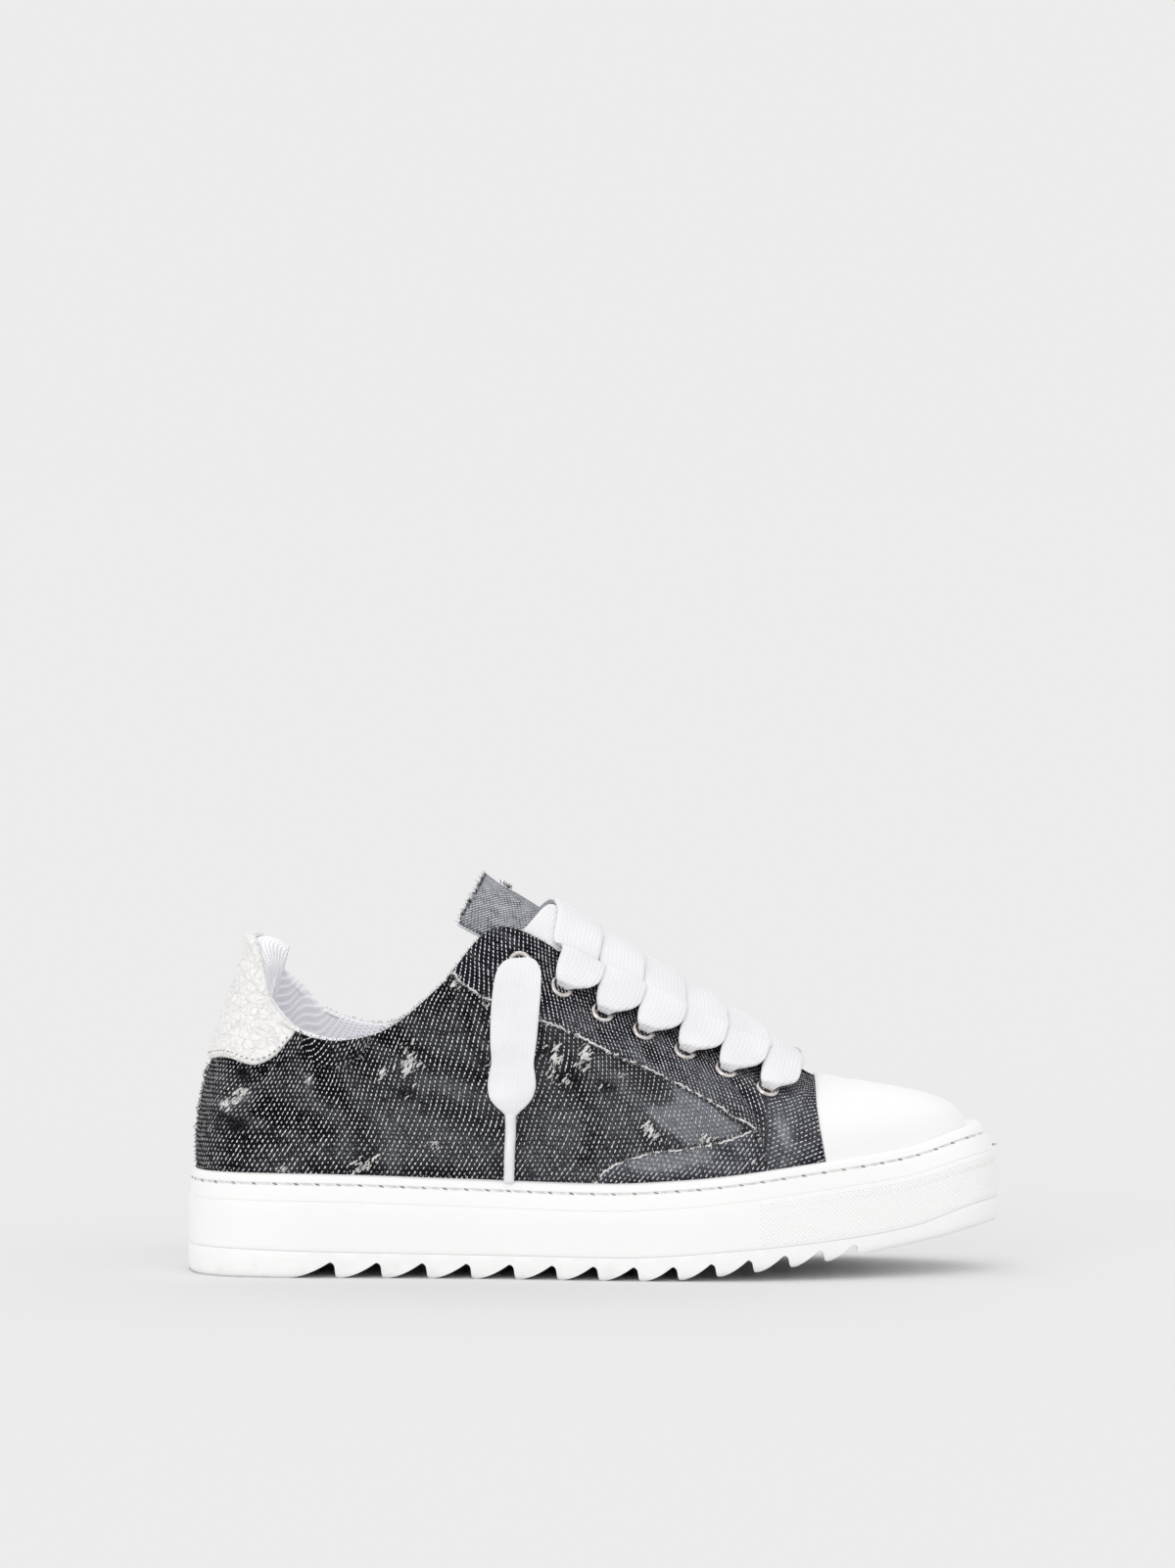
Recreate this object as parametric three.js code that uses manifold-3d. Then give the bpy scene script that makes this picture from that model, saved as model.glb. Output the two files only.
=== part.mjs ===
// A low canvas sneaker for the right foot, on a thick rubber cup sole with a saw-tooth edge.
// Millimetres, +Z up. While it is built the heel is at x = 0, the toe points along +X and the
// lateral (outer) side is at -Y; the finished group is moved so that its origin is on the ground
// under the middle of the shoe.
import * as THREE from 'three';
import { mergeVertices } from 'three/addons/utils/BufferGeometryUtils.js';
import Module from 'manifold-3d';

const wasm = await Module();
wasm.setup();

// Driving dimensions
const LENGTH = 282; // outsole, heel to toe
const BALL_WIDTH = 103; // outsole, across the ball
const HEEL_HEIGHT = 115.2; // ground to the peak of the heel tab
const INSTEP_HEIGHT = 118; // ground to the top corner of the eyestay
const SOLE_HEIGHT = 36; // ground to the rim of the cup sole, at the heel
const TOE_SPRING = 17; // ground to the outsole under the toe tip
const WALL = 2.2; // canvas with its lining
const GAP = 0.35; // left between touching pieces
const SLIVER = 0.03; // edges shorter than this are closed up after a cut

const OUTSOLE_LAYER = 9; // tread layer under the seam line, at the heel
const CUP_DEPTH = 8; // rim down to the footbed
const LUG_HEIGHT = 5.6;
const INSOLE_THICKNESS = 4;
const TONGUE_THICKNESS = 2.4;
const EYELETS_A_SIDE = 7;
const EYELET_HOLE = 2.3; // radius
const EYELET_FLANGE = 4.2; // radius
const LACE_WIDTH = 17;
const LACE_THICKNESS = 2;
const RING = 30; // stations along each side of the shoe

// Curves ------------------------------------------------------------------------------------

// A smooth function through [x, y] pairs, with slopes that never overshoot.
function through(keys) {
  const slope = keys.map((key, i) => {
    const before = keys[i - 1];
    const after = keys[i + 1];
    if (!before || !after) return 0;
    const a = (key[1] - before[1]) / (key[0] - before[0]);
    const b = (after[1] - key[1]) / (after[0] - key[0]);
    return a * b <= 0 ? 0 : (2 * a * b) / (a + b);
  });
  return (x) => {
    let i = 0;
    while (i < keys.length - 2 && x > keys[i + 1][0]) i += 1;
    const [x0, y0] = keys[i];
    const [x1, y1] = keys[i + 1];
    const t = THREE.MathUtils.clamp((x - x0) / (x1 - x0), 0, 1);
    const run = x1 - x0;
    const h = t * t * (3 - 2 * t);
    const m = t * (1 - t);
    return y0 + (y1 - y0) * h + run * m * ((1 - t) * slope[i] - t * slope[i + 1]);
  };
}

// The plan of the outsole: [share of length, share of ball width], from the heel to the toe.
const LATERAL_PLAN = [
  [0.014, -0.2], [0.05, -0.3], [0.11, -0.345], [0.23, -0.36], [0.372, -0.388],
  [0.496, -0.451], [0.631, -0.492], [0.727, -0.476], [0.823, -0.402], [0.908, -0.296],
  [0.95, -0.228], [0.983, -0.13],
];
const MEDIAL_PLAN = [
  [0.014, 0.2], [0.05, 0.3], [0.11, 0.345], [0.22, 0.346], [0.348, 0.32],
  [0.454, 0.345], [0.567, 0.427], [0.667, 0.497], [0.752, 0.503], [0.844, 0.45],
  [0.922, 0.35], [0.962, 0.275], [0.989, 0.175],
];
const TOE_APEX = 0.035; // share of ball width that the toe turns inwards

function sideOfPlan(points) {
  const ends = [[0, 0], ...points, [1, TOE_APEX]];
  const curve = new THREE.CatmullRomCurve3(
    [[points[0][0], -points[0][1]], ...ends, [points.at(-1)[0], 2 * TOE_APEX - points.at(-1)[1]]]
      .map(([x, y]) => new THREE.Vector3(x * LENGTH, y * BALL_WIDTH, 0)),
    false, 'centripetal',
  );
  const spans = ends.length + 1;
  // The point of this side at a given x, found by halving.
  return (x) => {
    let low = 1 / spans;
    let high = (spans - 1) / spans;
    for (let i = 0; i < 40; i += 1) {
      const middle = (low + high) / 2;
      if (curve.getPoint(middle).x < x) low = middle;
      else high = middle;
    }
    return curve.getPoint(low).y;
  };
}

const lateralEdge = sideOfPlan(LATERAL_PLAN);
const medialEdge = sideOfPlan(MEDIAL_PLAN);

// Places round the shoe are a number from 0 (heel) through 1 (toe) to 2 (heel again): the lateral
// side comes first. Places crowd together at the heel and toe, where the plan turns.
function planPoint(place) {
  const p = ((place % 2) + 2) % 2;
  const along = (1 - Math.cos(Math.PI * p)) / 2;
  const x = along * LENGTH;
  const y = p <= 1 ? lateralEdge(x) : medialEdge(x);
  return new THREE.Vector2(x, y);
}

function planNormal(place) {
  const step = 0.012;
  const run = planPoint(place + step).sub(planPoint(place - step)).normalize();
  return new THREE.Vector2(-run.y, run.x).negate();
}

// Heights and insets along the shoe, by x
const soleTop = through([
  [0, SOLE_HEIGHT], [45, SOLE_HEIGHT - 0.4], [100, SOLE_HEIGHT - 2], [145, SOLE_HEIGHT - 2.9],
  [175, SOLE_HEIGHT - 1.3], [215, SOLE_HEIGHT + 3.6], [250, SOLE_HEIGHT + 8.2],
  [LENGTH, SOLE_HEIGHT + 15],
]);
const soleBottom = through([
  [0, 0], [160, 0], [182, 0.09 * TOE_SPRING], [207, 0.265 * TOE_SPRING],
  [233, 0.49 * TOE_SPRING], [261, 0.78 * TOE_SPRING], [LENGTH, TOE_SPRING],
]);
const seamLine = through([
  [0, OUTSOLE_LAYER + 1.2], [50, OUTSOLE_LAYER], [100, OUTSOLE_LAYER - 0.7],
  [150, OUTSOLE_LAYER - 1], [190, OUTSOLE_LAYER + 1.5], [227, OUTSOLE_LAYER + 5],
  [250, OUTSOLE_LAYER + 8.4], [LENGTH, OUTSOLE_LAYER + 16.5],
]);
const rimInset = through([[0, 1.2], [60, 1.6], [200, 1.8], [LENGTH, 5.5]]);
const upperInset = through([[0, 2.8], [40, 4], [120, 4.8], [205, 5.2], [250, 9], [LENGTH, 12.8]]);

// A ring of points round the shoe, inset from the plan, at heights given by x.
function ring(inset, height) {
  const points = [];
  for (let i = 0; i < 2 * RING; i += 1) {
    const place = i / RING;
    const edge = planPoint(place);
    const spot = edge.clone().addScaledVector(planNormal(place), -inset(edge.x));
    points.push(new THREE.Vector3(spot.x, spot.y, height(spot.x)));
  }
  return points;
}

// Solids ------------------------------------------------------------------------------------

function geometryOf(points, faces) {
  const geometry = new THREE.BufferGeometry();
  geometry.setAttribute('position', new THREE.Float32BufferAttribute(
    points.flatMap((p) => [p.x, p.y, p.z]), 3,
  ));
  geometry.setIndex(faces.flat());
  return geometry;
}

function solidOf(geometry) {
  const bare = geometry.clone();
  bare.deleteAttribute('normal');
  bare.deleteAttribute('uv');
  const merged = mergeVertices(bare, 1e-4);
  return new wasm.Manifold(new wasm.Mesh({
    numProp: 3,
    vertProperties: merged.attributes.position.array,
    triVerts: new Uint32Array(merged.index.array),
  }));
}

// Slivers left by a cut are merged away first.
function geometryFrom(solid) {
  const mesh = solid.simplify(SLIVER).getMesh();
  const geometry = new THREE.BufferGeometry();
  geometry.setAttribute('position', new THREE.BufferAttribute(mesh.vertProperties, 3));
  geometry.setIndex(new THREE.BufferAttribute(mesh.triVerts, 1));
  return geometry;
}

// Two triangles for the four corners of a patch.
const quad = (a, b, c, d) => [[a, b, c], [a, c, d]];

// Joins a stack of equal rings with walls; closed stacks end where they begin, and open ones get
// a flat-sided floor and lid, laid from the lateral side across to the medial side.
function stack(rings, closed) {
  const count = rings[0].length;
  const faces = [];
  const levels = closed ? rings.length : rings.length - 1;
  for (let j = 0; j < levels; j += 1) {
    const low = j * count;
    const high = ((j + 1) % rings.length) * count;
    for (let i = 0; i < count; i += 1) {
      const next = (i + 1) % count;
      faces.push(...quad(low + i, low + next, high + next, high + i));
    }
  }
  if (!closed) {
    const top = (rings.length - 1) * count;
    for (let i = 0; i < count / 2; i += 1) {
      const here = [i, i + 1, count - i - 1, (count - i) % count];
      const patch = new Set(here).size === 4 ? quad(...here)
        : [here.filter((v, k) => here.indexOf(v) === k)];
      patch.forEach((t) => {
        faces.push([...t].reverse());
        faces.push(t.map((v) => v + top));
      });
    }
  }
  return geometryOf(rings.flat(), faces);
}

// A prism across the shoe whose side view is the given shape.
function acrossShoe(shape, curveSegments = 4) {
  const geometry = new THREE.ExtrudeGeometry(shape, {
    depth: 2 * BALL_WIDTH, bevelEnabled: false, curveSegments,
  });
  geometry.rotateX(Math.PI / 2);
  geometry.translate(0, BALL_WIDTH, 0);
  return geometry;
}

// A slab between an outer and an inner grid of points, each an array of rows.
function slab(outer, inner) {
  const rows = outer.length;
  const columns = outer[0].length;
  const shift = rows * columns;
  const at = (i, j) => i * columns + j;
  const faces = [];
  for (let i = 0; i < rows - 1; i += 1) {
    for (let j = 0; j < columns - 1; j += 1) {
      const patch = [at(i, j), at(i, j + 1), at(i + 1, j + 1), at(i + 1, j)];
      faces.push(...quad(...patch));
      faces.push(...quad(...patch.map((v) => v + shift).reverse()));
    }
  }
  const edge = [];
  for (let j = 0; j < columns - 1; j += 1) edge.push([at(0, j), at(0, j + 1)]);
  for (let i = 0; i < rows - 1; i += 1) edge.push([at(i, columns - 1), at(i + 1, columns - 1)]);
  for (let j = columns - 1; j > 0; j -= 1) edge.push([at(rows - 1, j), at(rows - 1, j - 1)]);
  for (let i = rows - 1; i > 0; i -= 1) edge.push([at(i, 0), at(i - 1, 0)]);
  edge.forEach(([a, b]) => faces.push(...quad(b, a, a + shift, b + shift)));
  return geometryOf([...outer.flat(), ...inner.flat()], faces);
}

// Sole --------------------------------------------------------------------------------------

// The places of the tooth tips; the teeth get closer together towards the toe.
function toothTips() {
  const tips = [53];
  for (let i = 0; i < 13; i += 1) tips.push(tips.at(-1) + 16 - 0.36 * i);
  return tips;
}

// The side view of one notch: it climbs slowly from the flat behind it and drops at the next tip.
function notch(start, tip) {
  const floor = soleBottom(start);
  const drop = soleBottom(tip);
  const peak = tip - 2.8;
  const shape = new THREE.Shape();
  shape.moveTo(start - 1, floor - 4);
  shape.lineTo(start - 1, floor - 0.35);
  shape.quadraticCurveTo((start + peak) / 2, floor + 1.4, peak, drop + LUG_HEIGHT - 0.2);
  shape.quadraticCurveTo(peak + 1.2, drop + LUG_HEIGHT + 0.4, peak + 1.6, drop + LUG_HEIGHT - 1.4);
  shape.lineTo(tip - 0.4, drop - 4);
  shape.closePath();
  return acrossShoe(shape, 3);
}

function makeOutsole() {
  const seam = (x) => seamLine(x) - GAP / 2;
  const body = solidOf(stack([
    ring(() => 1.4, soleBottom),
    ring(() => 0.4, (x) => soleBottom(x) + 1),
    ring(() => 0, (x) => soleBottom(x) + 3),
    ring(() => 0, seam),
  ]));
  const tips = toothTips();
  const flat = 1.6;
  const starts = [37, ...tips.map((x) => x + flat)];
  return geometryFrom(tips.reduce(
    (left, tip, i) => left.subtract(solidOf(notch(starts[i], tip))), body,
  ));
}

function makeMidsole() {
  const seam = (x) => seamLine(x) + GAP / 2;
  const lip = (x) => upperInset(x) - GAP;
  return stack([
    ring(() => 0, seam),
    ring(() => 0, (x) => seam(x) + 0.45 * (soleTop(x) - seam(x))),
    ring((x) => 0.75 * rimInset(x), (x) => soleTop(x) - 3),
    ring(rimInset, (x) => soleTop(x) - 1.2),
    ring((x) => rimInset(x) + 0.8, (x) => soleTop(x) - 0.3),
    ring(lip, soleTop),
    ring(lip, (x) => soleTop(x) - CUP_DEPTH),
  ]);
}

function makeInsole() {
  const inset = (x) => upperInset(x) + WALL + GAP;
  const base = (x) => soleTop(x) - CUP_DEPTH + GAP;
  return stack([
    ring(inset, base),
    ring(inset, (x) => base(x) + INSOLE_THICKNESS - 1),
    ring((x) => inset(x) + 2, (x) => base(x) + INSOLE_THICKNESS),
  ]);
}

// Upper -------------------------------------------------------------------------------------

const half = BALL_WIDTH / 2;
// The top edge of the upper, at even places from the heel peak to the front end of the throat:
// x, y as a share of half the ball width, z, and how far the canvas leans in from upright there.
const TOP_EDGE = [
  [21.5, 0, HEEL_HEIGHT, 17],
  [23.2, 0.19, HEEL_HEIGHT - 0.8, 16],
  [26.3, 0.31, HEEL_HEIGHT - 8, 15],
  [30.2, 0.39, HEEL_HEIGHT - 22.5, 12],
  [39.5, 0.475, HEEL_HEIGHT - 31.2, 9],
  [54, 0.535, HEEL_HEIGHT - 33.8, 7],
  [71, 0.565, HEEL_HEIGHT - 29, 9],
  [89, 0.57, HEEL_HEIGHT - 14, 15],
  [108.5, 0.545, INSTEP_HEIGHT + 2.4, 24],
  [137, 0.44, INSTEP_HEIGHT - 10.7, 30],
  [165, 0.38, INSTEP_HEIGHT - 25, 35],
  [190, 0.34, INSTEP_HEIGHT - 37.7, 38],
  [204.5, 0.28, INSTEP_HEIGHT - 45, 46],
  [211.5, 0.2, INSTEP_HEIGHT - 48.4, 60],
  [214.8, 0.125, INSTEP_HEIGHT - 50, 70],
  [216.2, 0.06, INSTEP_HEIGHT - 50.5, 76],
  [216.6, 0, INSTEP_HEIGHT - 50.6, 78],
];
const MEDIAL_COLLAR_RISE = through([
  [0, 0], [22.5, 1], [26.3, 6], [30.2, 14], [39.5, 9.5], [54, 4.5], [71, -1.8], [80, -4.5],
  [89, -5], [108, -3], [137, 0], [LENGTH, 0],
]);

function topEdgeCurve(pick) {
  const back = TOP_EDGE.slice(1, -1).reverse();
  const points = [...TOP_EDGE.map((key) => pick(key, -1)), ...back.map((key) => pick(key, 1))];
  return new THREE.CatmullRomCurve3(points, true, 'catmullrom', 0.5);
}
const topEdge = topEdgeCurve(([x, y, z], side) => new THREE.Vector3(
  x, side * y * half, z + (side > 0 ? MEDIAL_COLLAR_RISE(x) : 0),
));
const topLean = topEdgeCurve(([, , , lean]) => new THREE.Vector3(lean, 0, 0));

// How the canvas leaves the sole: how far it bulges out, and how much of its height it climbs
// before it turns in. Both by place along one side.
const bulge = through([[0, 0.4], [0.3, 2], [0.6, 3], [0.8, 2], [1, 0.5]]);
const climb = through([[0, 0.36], [0.5, 0.42], [0.7, 0.42], [0.85, 0.3], [1, 0.22]]);
const reach = through([[0, 0.4], [0.3, 0.35], [0.7, 0.38], [1, 0.5]]);
// Padding inside the collar, by place along one side and by share of height.
const collarPad = through([[0, 11.5], [0.12, 10], [0.22, 6], [0.32, 2.5], [0.42, 0], [1, 0]]);
const padShare = through([[0, 0], [0.35, 0], [0.8, 1], [1, 1]]);

const sideShare = (place) => (place <= 1 ? place : 2 - place);

// A point of the outer surface: place round the shoe, and share of the way from the rim to the top.
function upperPoint(place, share) {
  const p = ((place % 2) + 2) % 2;
  const along = sideShare(p);
  const edge = planPoint(p);
  const out = planNormal(p);
  const foot2 = edge.clone().addScaledVector(out, -upperInset(edge.x));
  const foot = new THREE.Vector3(foot2.x, foot2.y, soleTop(foot2.x));
  const top = topEdge.getPoint(p / 2);
  const lean = THREE.MathUtils.degToRad(topEdgeLean(p));
  const chord = foot.distanceTo(top);
  const inward = new THREE.Vector3(top.x - foot.x, top.y - foot.y, 0).normalize();
  inward.lerp(new THREE.Vector3(-out.x, -out.y, 0), 1 - along).normalize();
  const first = foot.clone().add(
    new THREE.Vector3(out.x * bulge(along), out.y * bulge(along), chord * climb(along)),
  );
  const second = top.clone()
    .addScaledVector(inward, -chord * reach(along) * Math.sin(lean))
    .add(new THREE.Vector3(0, 0, -chord * reach(along) * Math.cos(lean)));
  return new THREE.CubicBezierCurve3(foot, first, second, top).getPoint(share);
}

function topEdgeLean(place) {
  return topLean.getPoint(place / 2).x;
}

function upperNormal(place, share) {
  const step = 0.004;
  const low = Math.max(share - 0.02, 0);
  const high = Math.min(share + 0.02, 1);
  const round = upperPoint(place + step, share).sub(upperPoint(place - step, share));
  const rise = upperPoint(place, high).sub(upperPoint(place, low));
  return round.cross(rise).normalize();
}

// The canvas at a distance out from its outer surface; a negative distance is inside it.
function canvas(place, share, distance) {
  return upperPoint(place, share).addScaledVector(upperNormal(place, share), distance);
}

const wallAt = (place, share) => WALL + collarPad(sideShare(place)) * padShare(share);

const SHARES = [0, 0.12, 0.25, 0.38, 0.51, 0.64, 0.77, 0.89, 1];
const places = Array.from({ length: 2 * RING }, (_, i) => i / RING);

// The footed ring inside the cup, straight below the rim.
function footRing(distance) {
  return places.map((place) => {
    const spot = canvas(place, 0, distance);
    const base = upperPoint(place, 0);
    const out = planNormal(place);
    return new THREE.Vector3(
      base.x + out.x * distance, base.y + out.y * distance, soleTop(spot.x) - CUP_DEPTH + GAP,
    );
  });
}

function rimRing(distance) {
  return places.map((place) => {
    const base = upperPoint(place, 0);
    const out = planNormal(place);
    return new THREE.Vector3(base.x + out.x * distance, base.y + out.y * distance, base.z);
  });
}

function upperShell() {
  const outer = SHARES.slice(1).map((share) => places.map((place) => canvas(place, share, 0)));
  const inner = SHARES.slice(1).map((share) => places.map(
    (place) => canvas(place, share, -wallAt(place, share)),
  )).reverse();
  const roll = [50, 130].map((degrees) => places.map((place) => {
    const angle = THREE.MathUtils.degToRad(degrees);
    const wall = wallAt(place, 1);
    const across = upperNormal(place, 1);
    const up = upperPoint(place, 1).sub(upperPoint(place, 0.97)).normalize();
    return upperPoint(place, 1)
      .addScaledVector(across, (wall / 2) * (Math.cos(angle) - 1))
      .addScaledVector(up, Math.min(0.4 * wall, 2) * Math.sin(angle));
  }));
  return stack([
    footRing(0), rimRing(0), ...outer, ...roll, ...inner, rimRing(-WALL), footRing(-WALL),
  ], true);
}

// The spot on the canvas a given way down from the throat edge and at a given x.
function underEdge(x, down, side) {
  const shareBelow = (place) => {
    let share = 1;
    let gone = 0;
    while (gone < down && share > 0.02) {
      gone += upperPoint(place, share).distanceTo(upperPoint(place, share - 0.01));
      share -= 0.01;
    }
    return share;
  };
  let low = 0.4;
  let high = 0.85;
  for (let i = 0; i < 24; i += 1) {
    const along = (low + high) / 2;
    const place = side < 0 ? along : 2 - along;
    if (upperPoint(place, shareBelow(place)).x < x) low = along;
    else high = along;
  }
  const place = side < 0 ? low : 2 - low;
  return { place, share: shareBelow(place) };
}

// Eyelets -----------------------------------------------------------------------------------

const FIRST_EYELET = 115.6; // x of the top eyelet
const EYELET_STEP = 14.15; // along x
// From an eyelet's centre to the throat edge, along the canvas, by x.
const eyeletToEdge = through([
  [115, 13.5], [130, 18], [144, 20.5], [158, 21.5], [173, 24], [187, 26.5], [202, 30],
]);
const eyeletSpots = [-1, 1].map((side) => Array.from({ length: EYELETS_A_SIDE }, (_, i) => {
  const x = FIRST_EYELET + i * EYELET_STEP;
  const down = eyeletToEdge(x);
  const { place, share } = underEdge(x, down, side);
  return {
    side,
    down,
    point: upperPoint(place, share),
    normal: upperNormal(place, share),
    throat: Math.abs(upperPoint(place, 1).y),
  };
}));

function aimed(geometry, spot, lift = 0) {
  const turn = new THREE.Quaternion().setFromUnitVectors(new THREE.Vector3(0, 1, 0), spot.normal);
  geometry.applyQuaternion(turn);
  const place = spot.point.clone().addScaledVector(spot.normal, lift);
  return geometry.translate(place.x, place.y, place.z);
}

// A rolled metal ring: flange outside, barrel through the canvas, clenched ring inside.
function makeEyelet(spot) {
  const barrel = EYELET_HOLE + 0.45;
  const face = 0.6;
  const back = -WALL - 0.8;
  const profile = [
    [EYELET_HOLE, back - 0.4], [EYELET_HOLE + 1, back - 0.4], [barrel, back], [barrel, face],
    [EYELET_FLANGE, face], [EYELET_FLANGE - 0.4, face + 0.6], [EYELET_HOLE + 0.3, face + 0.7],
    [EYELET_HOLE, back - 0.4],
  ].map(([r, y]) => new THREE.Vector2(r, y));
  return aimed(new THREE.LatheGeometry(profile, 8), spot);
}

function makeUpper() {
  const hole = EYELET_HOLE + 0.45 + GAP;
  return geometryFrom(eyeletSpots.flat().reduce((left, spot) => left.subtract(
    solidOf(aimed(new THREE.CylinderGeometry(hole, hole, 5 * WALL, 10), spot, -WALL / 2)),
  ), solidOf(upperShell())));
}

// Toe cap and heel tab ----------------------------------------------------------------------

const LEATHER = 1; // thickness
const LEATHER_LIFT = 0.45; // leather to canvas

// A thin layer over the canvas between two places, cut to the side view of a shape.
function overlay(from, to, shape) {
  const span = Array.from({ length: to - from + 1 }, (_, i) => (from + i) / RING);
  const layer = (distance) => SHARES.map(
    (share) => span.map((place) => canvas(place, share, distance)),
  );
  return geometryFrom(solidOf(slab(layer(LEATHER_LIFT + LEATHER), layer(LEATHER_LIFT)))
    .intersect(solidOf(acrossShoe(shape, 8))));
}

const TOE_CAP_EDGE = 218; // x where the canvas meets the toe cap, at the top
function makeToeCap() {
  const shape = new THREE.Shape();
  shape.moveTo(TOE_CAP_EDGE + 3, soleTop(TOE_CAP_EDGE) + 2 * GAP);
  for (let x = 225; x < LENGTH; x += 8) shape.lineTo(x, soleTop(x) + 2 * GAP);
  shape.lineTo(LENGTH, INSTEP_HEIGHT);
  shape.lineTo(TOE_CAP_EDGE, INSTEP_HEIGHT);
  shape.lineTo(TOE_CAP_EDGE, INSTEP_HEIGHT - 50);
  shape.closePath();
  return overlay(20, 40, shape);
}

function makeHeelTab() {
  const shape = new THREE.Shape();
  shape.moveTo(-10, 69.5);
  shape.lineTo(5, 70.5);
  shape.bezierCurveTo(10, 74.5, 14, 76, 19, 73.6);
  shape.bezierCurveTo(25, 71, 31, 73.5, 39, 86);
  shape.lineTo(40.5, 93);
  shape.lineTo(40.5, 140);
  shape.lineTo(-10, 140);
  shape.closePath();
  return overlay(-8, 8, shape);
}

// Tongue ------------------------------------------------------------------------------------

// Its ridge, from the free end down to the end stitched inside the vamp: x, z, then the radius it
// is curved to across the foot and how far round it goes on each side.
const TONGUE_RIDGE = [
  [104, INSTEP_HEIGHT + 19.4, 28, 69], [121, INSTEP_HEIGHT + 8.8, 28, 67],
  [141, INSTEP_HEIGHT - 4.4, 28, 63], [165, INSTEP_HEIGHT - 19.6, 28, 57],
  [185, INSTEP_HEIGHT - 31.8, 28, 54], [199, INSTEP_HEIGHT - 40.3, 28, 52],
  [209, INSTEP_HEIGHT - 48.5, 27, 48], [220, INSTEP_HEIGHT - 55.5, 27, 43],
  [232, INSTEP_HEIGHT - 60.5, 27, 36],
];
const TONGUE_LEAN = 0.515; // sine of the slope of the ridge
const tongueRow = (pick) => new THREE.CatmullRomCurve3(
  TONGUE_RIDGE.map((key) => new THREE.Vector3(...pick(key))), false, 'catmullrom', 0.5,
);
const ridge = tongueRow(([x, z]) => [x, 0, z]);
const curl = tongueRow(([, , radius, turn]) => [radius, turn, 0]);

function tonguePoint(along, across) {
  const crest = ridge.getPoint(along);
  const { x: radius, y: turn } = curl.getPoint(along);
  const angle = THREE.MathUtils.degToRad(across * turn);
  const fall = radius * (1 - Math.cos(angle));
  return new THREE.Vector3(
    crest.x - TONGUE_LEAN * fall, radius * Math.sin(angle),
    crest.z - Math.sqrt(1 - TONGUE_LEAN ** 2) * fall,
  );
}

function tongueNormal(along, across) {
  const step = 0.01;
  const down = tonguePoint(Math.min(along + step, 1), across)
    .sub(tonguePoint(Math.max(along - step, 0), across));
  const side = tonguePoint(along, across + step).sub(tonguePoint(along, across - step));
  return down.cross(side).normalize();
}

function makeTongue() {
  const rows = 13;
  const columns = 11;
  const layer = (depth) => Array.from({ length: rows }, (_, i) => Array.from(
    { length: columns }, (__, j) => {
      const along = i / (rows - 1);
      const across = 1 - (2 * j) / (columns - 1);
      return tonguePoint(along, across)
        .addScaledVector(tongueNormal(along, across), -depth);
    },
  ));
  return slab(layer(0), layer(TONGUE_THICKNESS));
}

// Laces -------------------------------------------------------------------------------------

// A flat band laid through rows of two spots each; a spot is a point and its outward side.
function band(rows, thickness) {
  const at = (depth) => rows.map((row) => row.map(
    ({ point, out }) => point.clone().addScaledVector(out, depth),
  ));
  return slab(at(thickness), at(0));
}

// How far down the tongue its ridge has the given x.
function ridgeAt(x) {
  let low = 0;
  let high = 1;
  for (let i = 0; i < 24; i += 1) {
    const middle = (low + high) / 2;
    if (ridge.getPoint(middle).x < x) low = middle;
    else high = middle;
  }
  return low;
}

const RIDGE_AHEAD = 9.5; // the ridge is this far ahead of its eyelets in x
const LAST_RIDGE = 211; // and never further than this
const LAST_FACING = 211; // where the throat edge turns across the shoe
const FACING_SLOPE = 0.87; // cosine of the slope of the facing
const LACE_TILT = 0.8; // each crossing lies over the next one towards the toe

// A row across a band that lies on the facing of an eyelet, a given way down from the throat edge.
function facingRow(spot, down, ahead, width, lift) {
  return [-1, 1].map((end) => {
    const x = spot.point.x + ahead + (end * width * FACING_SLOPE) / 2;
    const { place, share } = underEdge(Math.min(x, LAST_FACING), down, spot.side);
    const tilt = (end * LACE_TILT * width) / LACE_WIDTH;
    return { point: canvas(place, share, lift + tilt), out: upperNormal(place, share) };
  });
}

// A row across a band on the tongue, part of the way from one eyelet to one on the other side.
function tongueRowAcross(from, to, part, width, lift) {
  const x = THREE.MathUtils.lerp(from.point.x, to.point.x, part) + RIDGE_AHEAD;
  const edge = THREE.MathUtils.lerp(from.throat, to.throat, part);
  return [-1, 1].map((end) => {
    const along = ridgeAt(Math.min(x + (end * width * FACING_SLOPE) / 2, LAST_RIDGE));
    const { x: radius, y: turn } = curl.getPoint(along);
    const limit = THREE.MathUtils.radToDeg(Math.asin(edge / radius)) / turn;
    const across = from.side * (1 - 2 * part) * limit;
    const out = tongueNormal(along, across);
    const rise = lift + end * LACE_TILT;
    return { point: tonguePoint(along, across).addScaledVector(out, rise), out };
  });
}

// One crossing: up from its eyelet, over the facing and the tongue, and down to the throat edge of
// the other side, level with the next eyelet.
function crossing(from, to, lift) {
  const rows = [
    facingRow(from, from.down, 2.5, 8, 2.6),
    facingRow(from, from.down - 4.5, 4, 14.5, 2.7),
    facingRow(from, 0.45 * from.down, 5, LACE_WIDTH, 2.7),
    facingRow(from, 0.3, 6, LACE_WIDTH, 4.4),
    tongueRowAcross(from, to, 0.14, LACE_WIDTH, 5.6),
    tongueRowAcross(from, to, 0.36, LACE_WIDTH, lift + 0.4),
    tongueRowAcross(from, to, 0.6, LACE_WIDTH, lift),
    tongueRowAcross(from, to, 0.82, LACE_WIDTH - 2, 2.7),
  ];
  const ordered = from.side < 0 ? rows : rows.map((row) => [...row].reverse());
  return band(ordered, LACE_THICKNESS);
}

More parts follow.
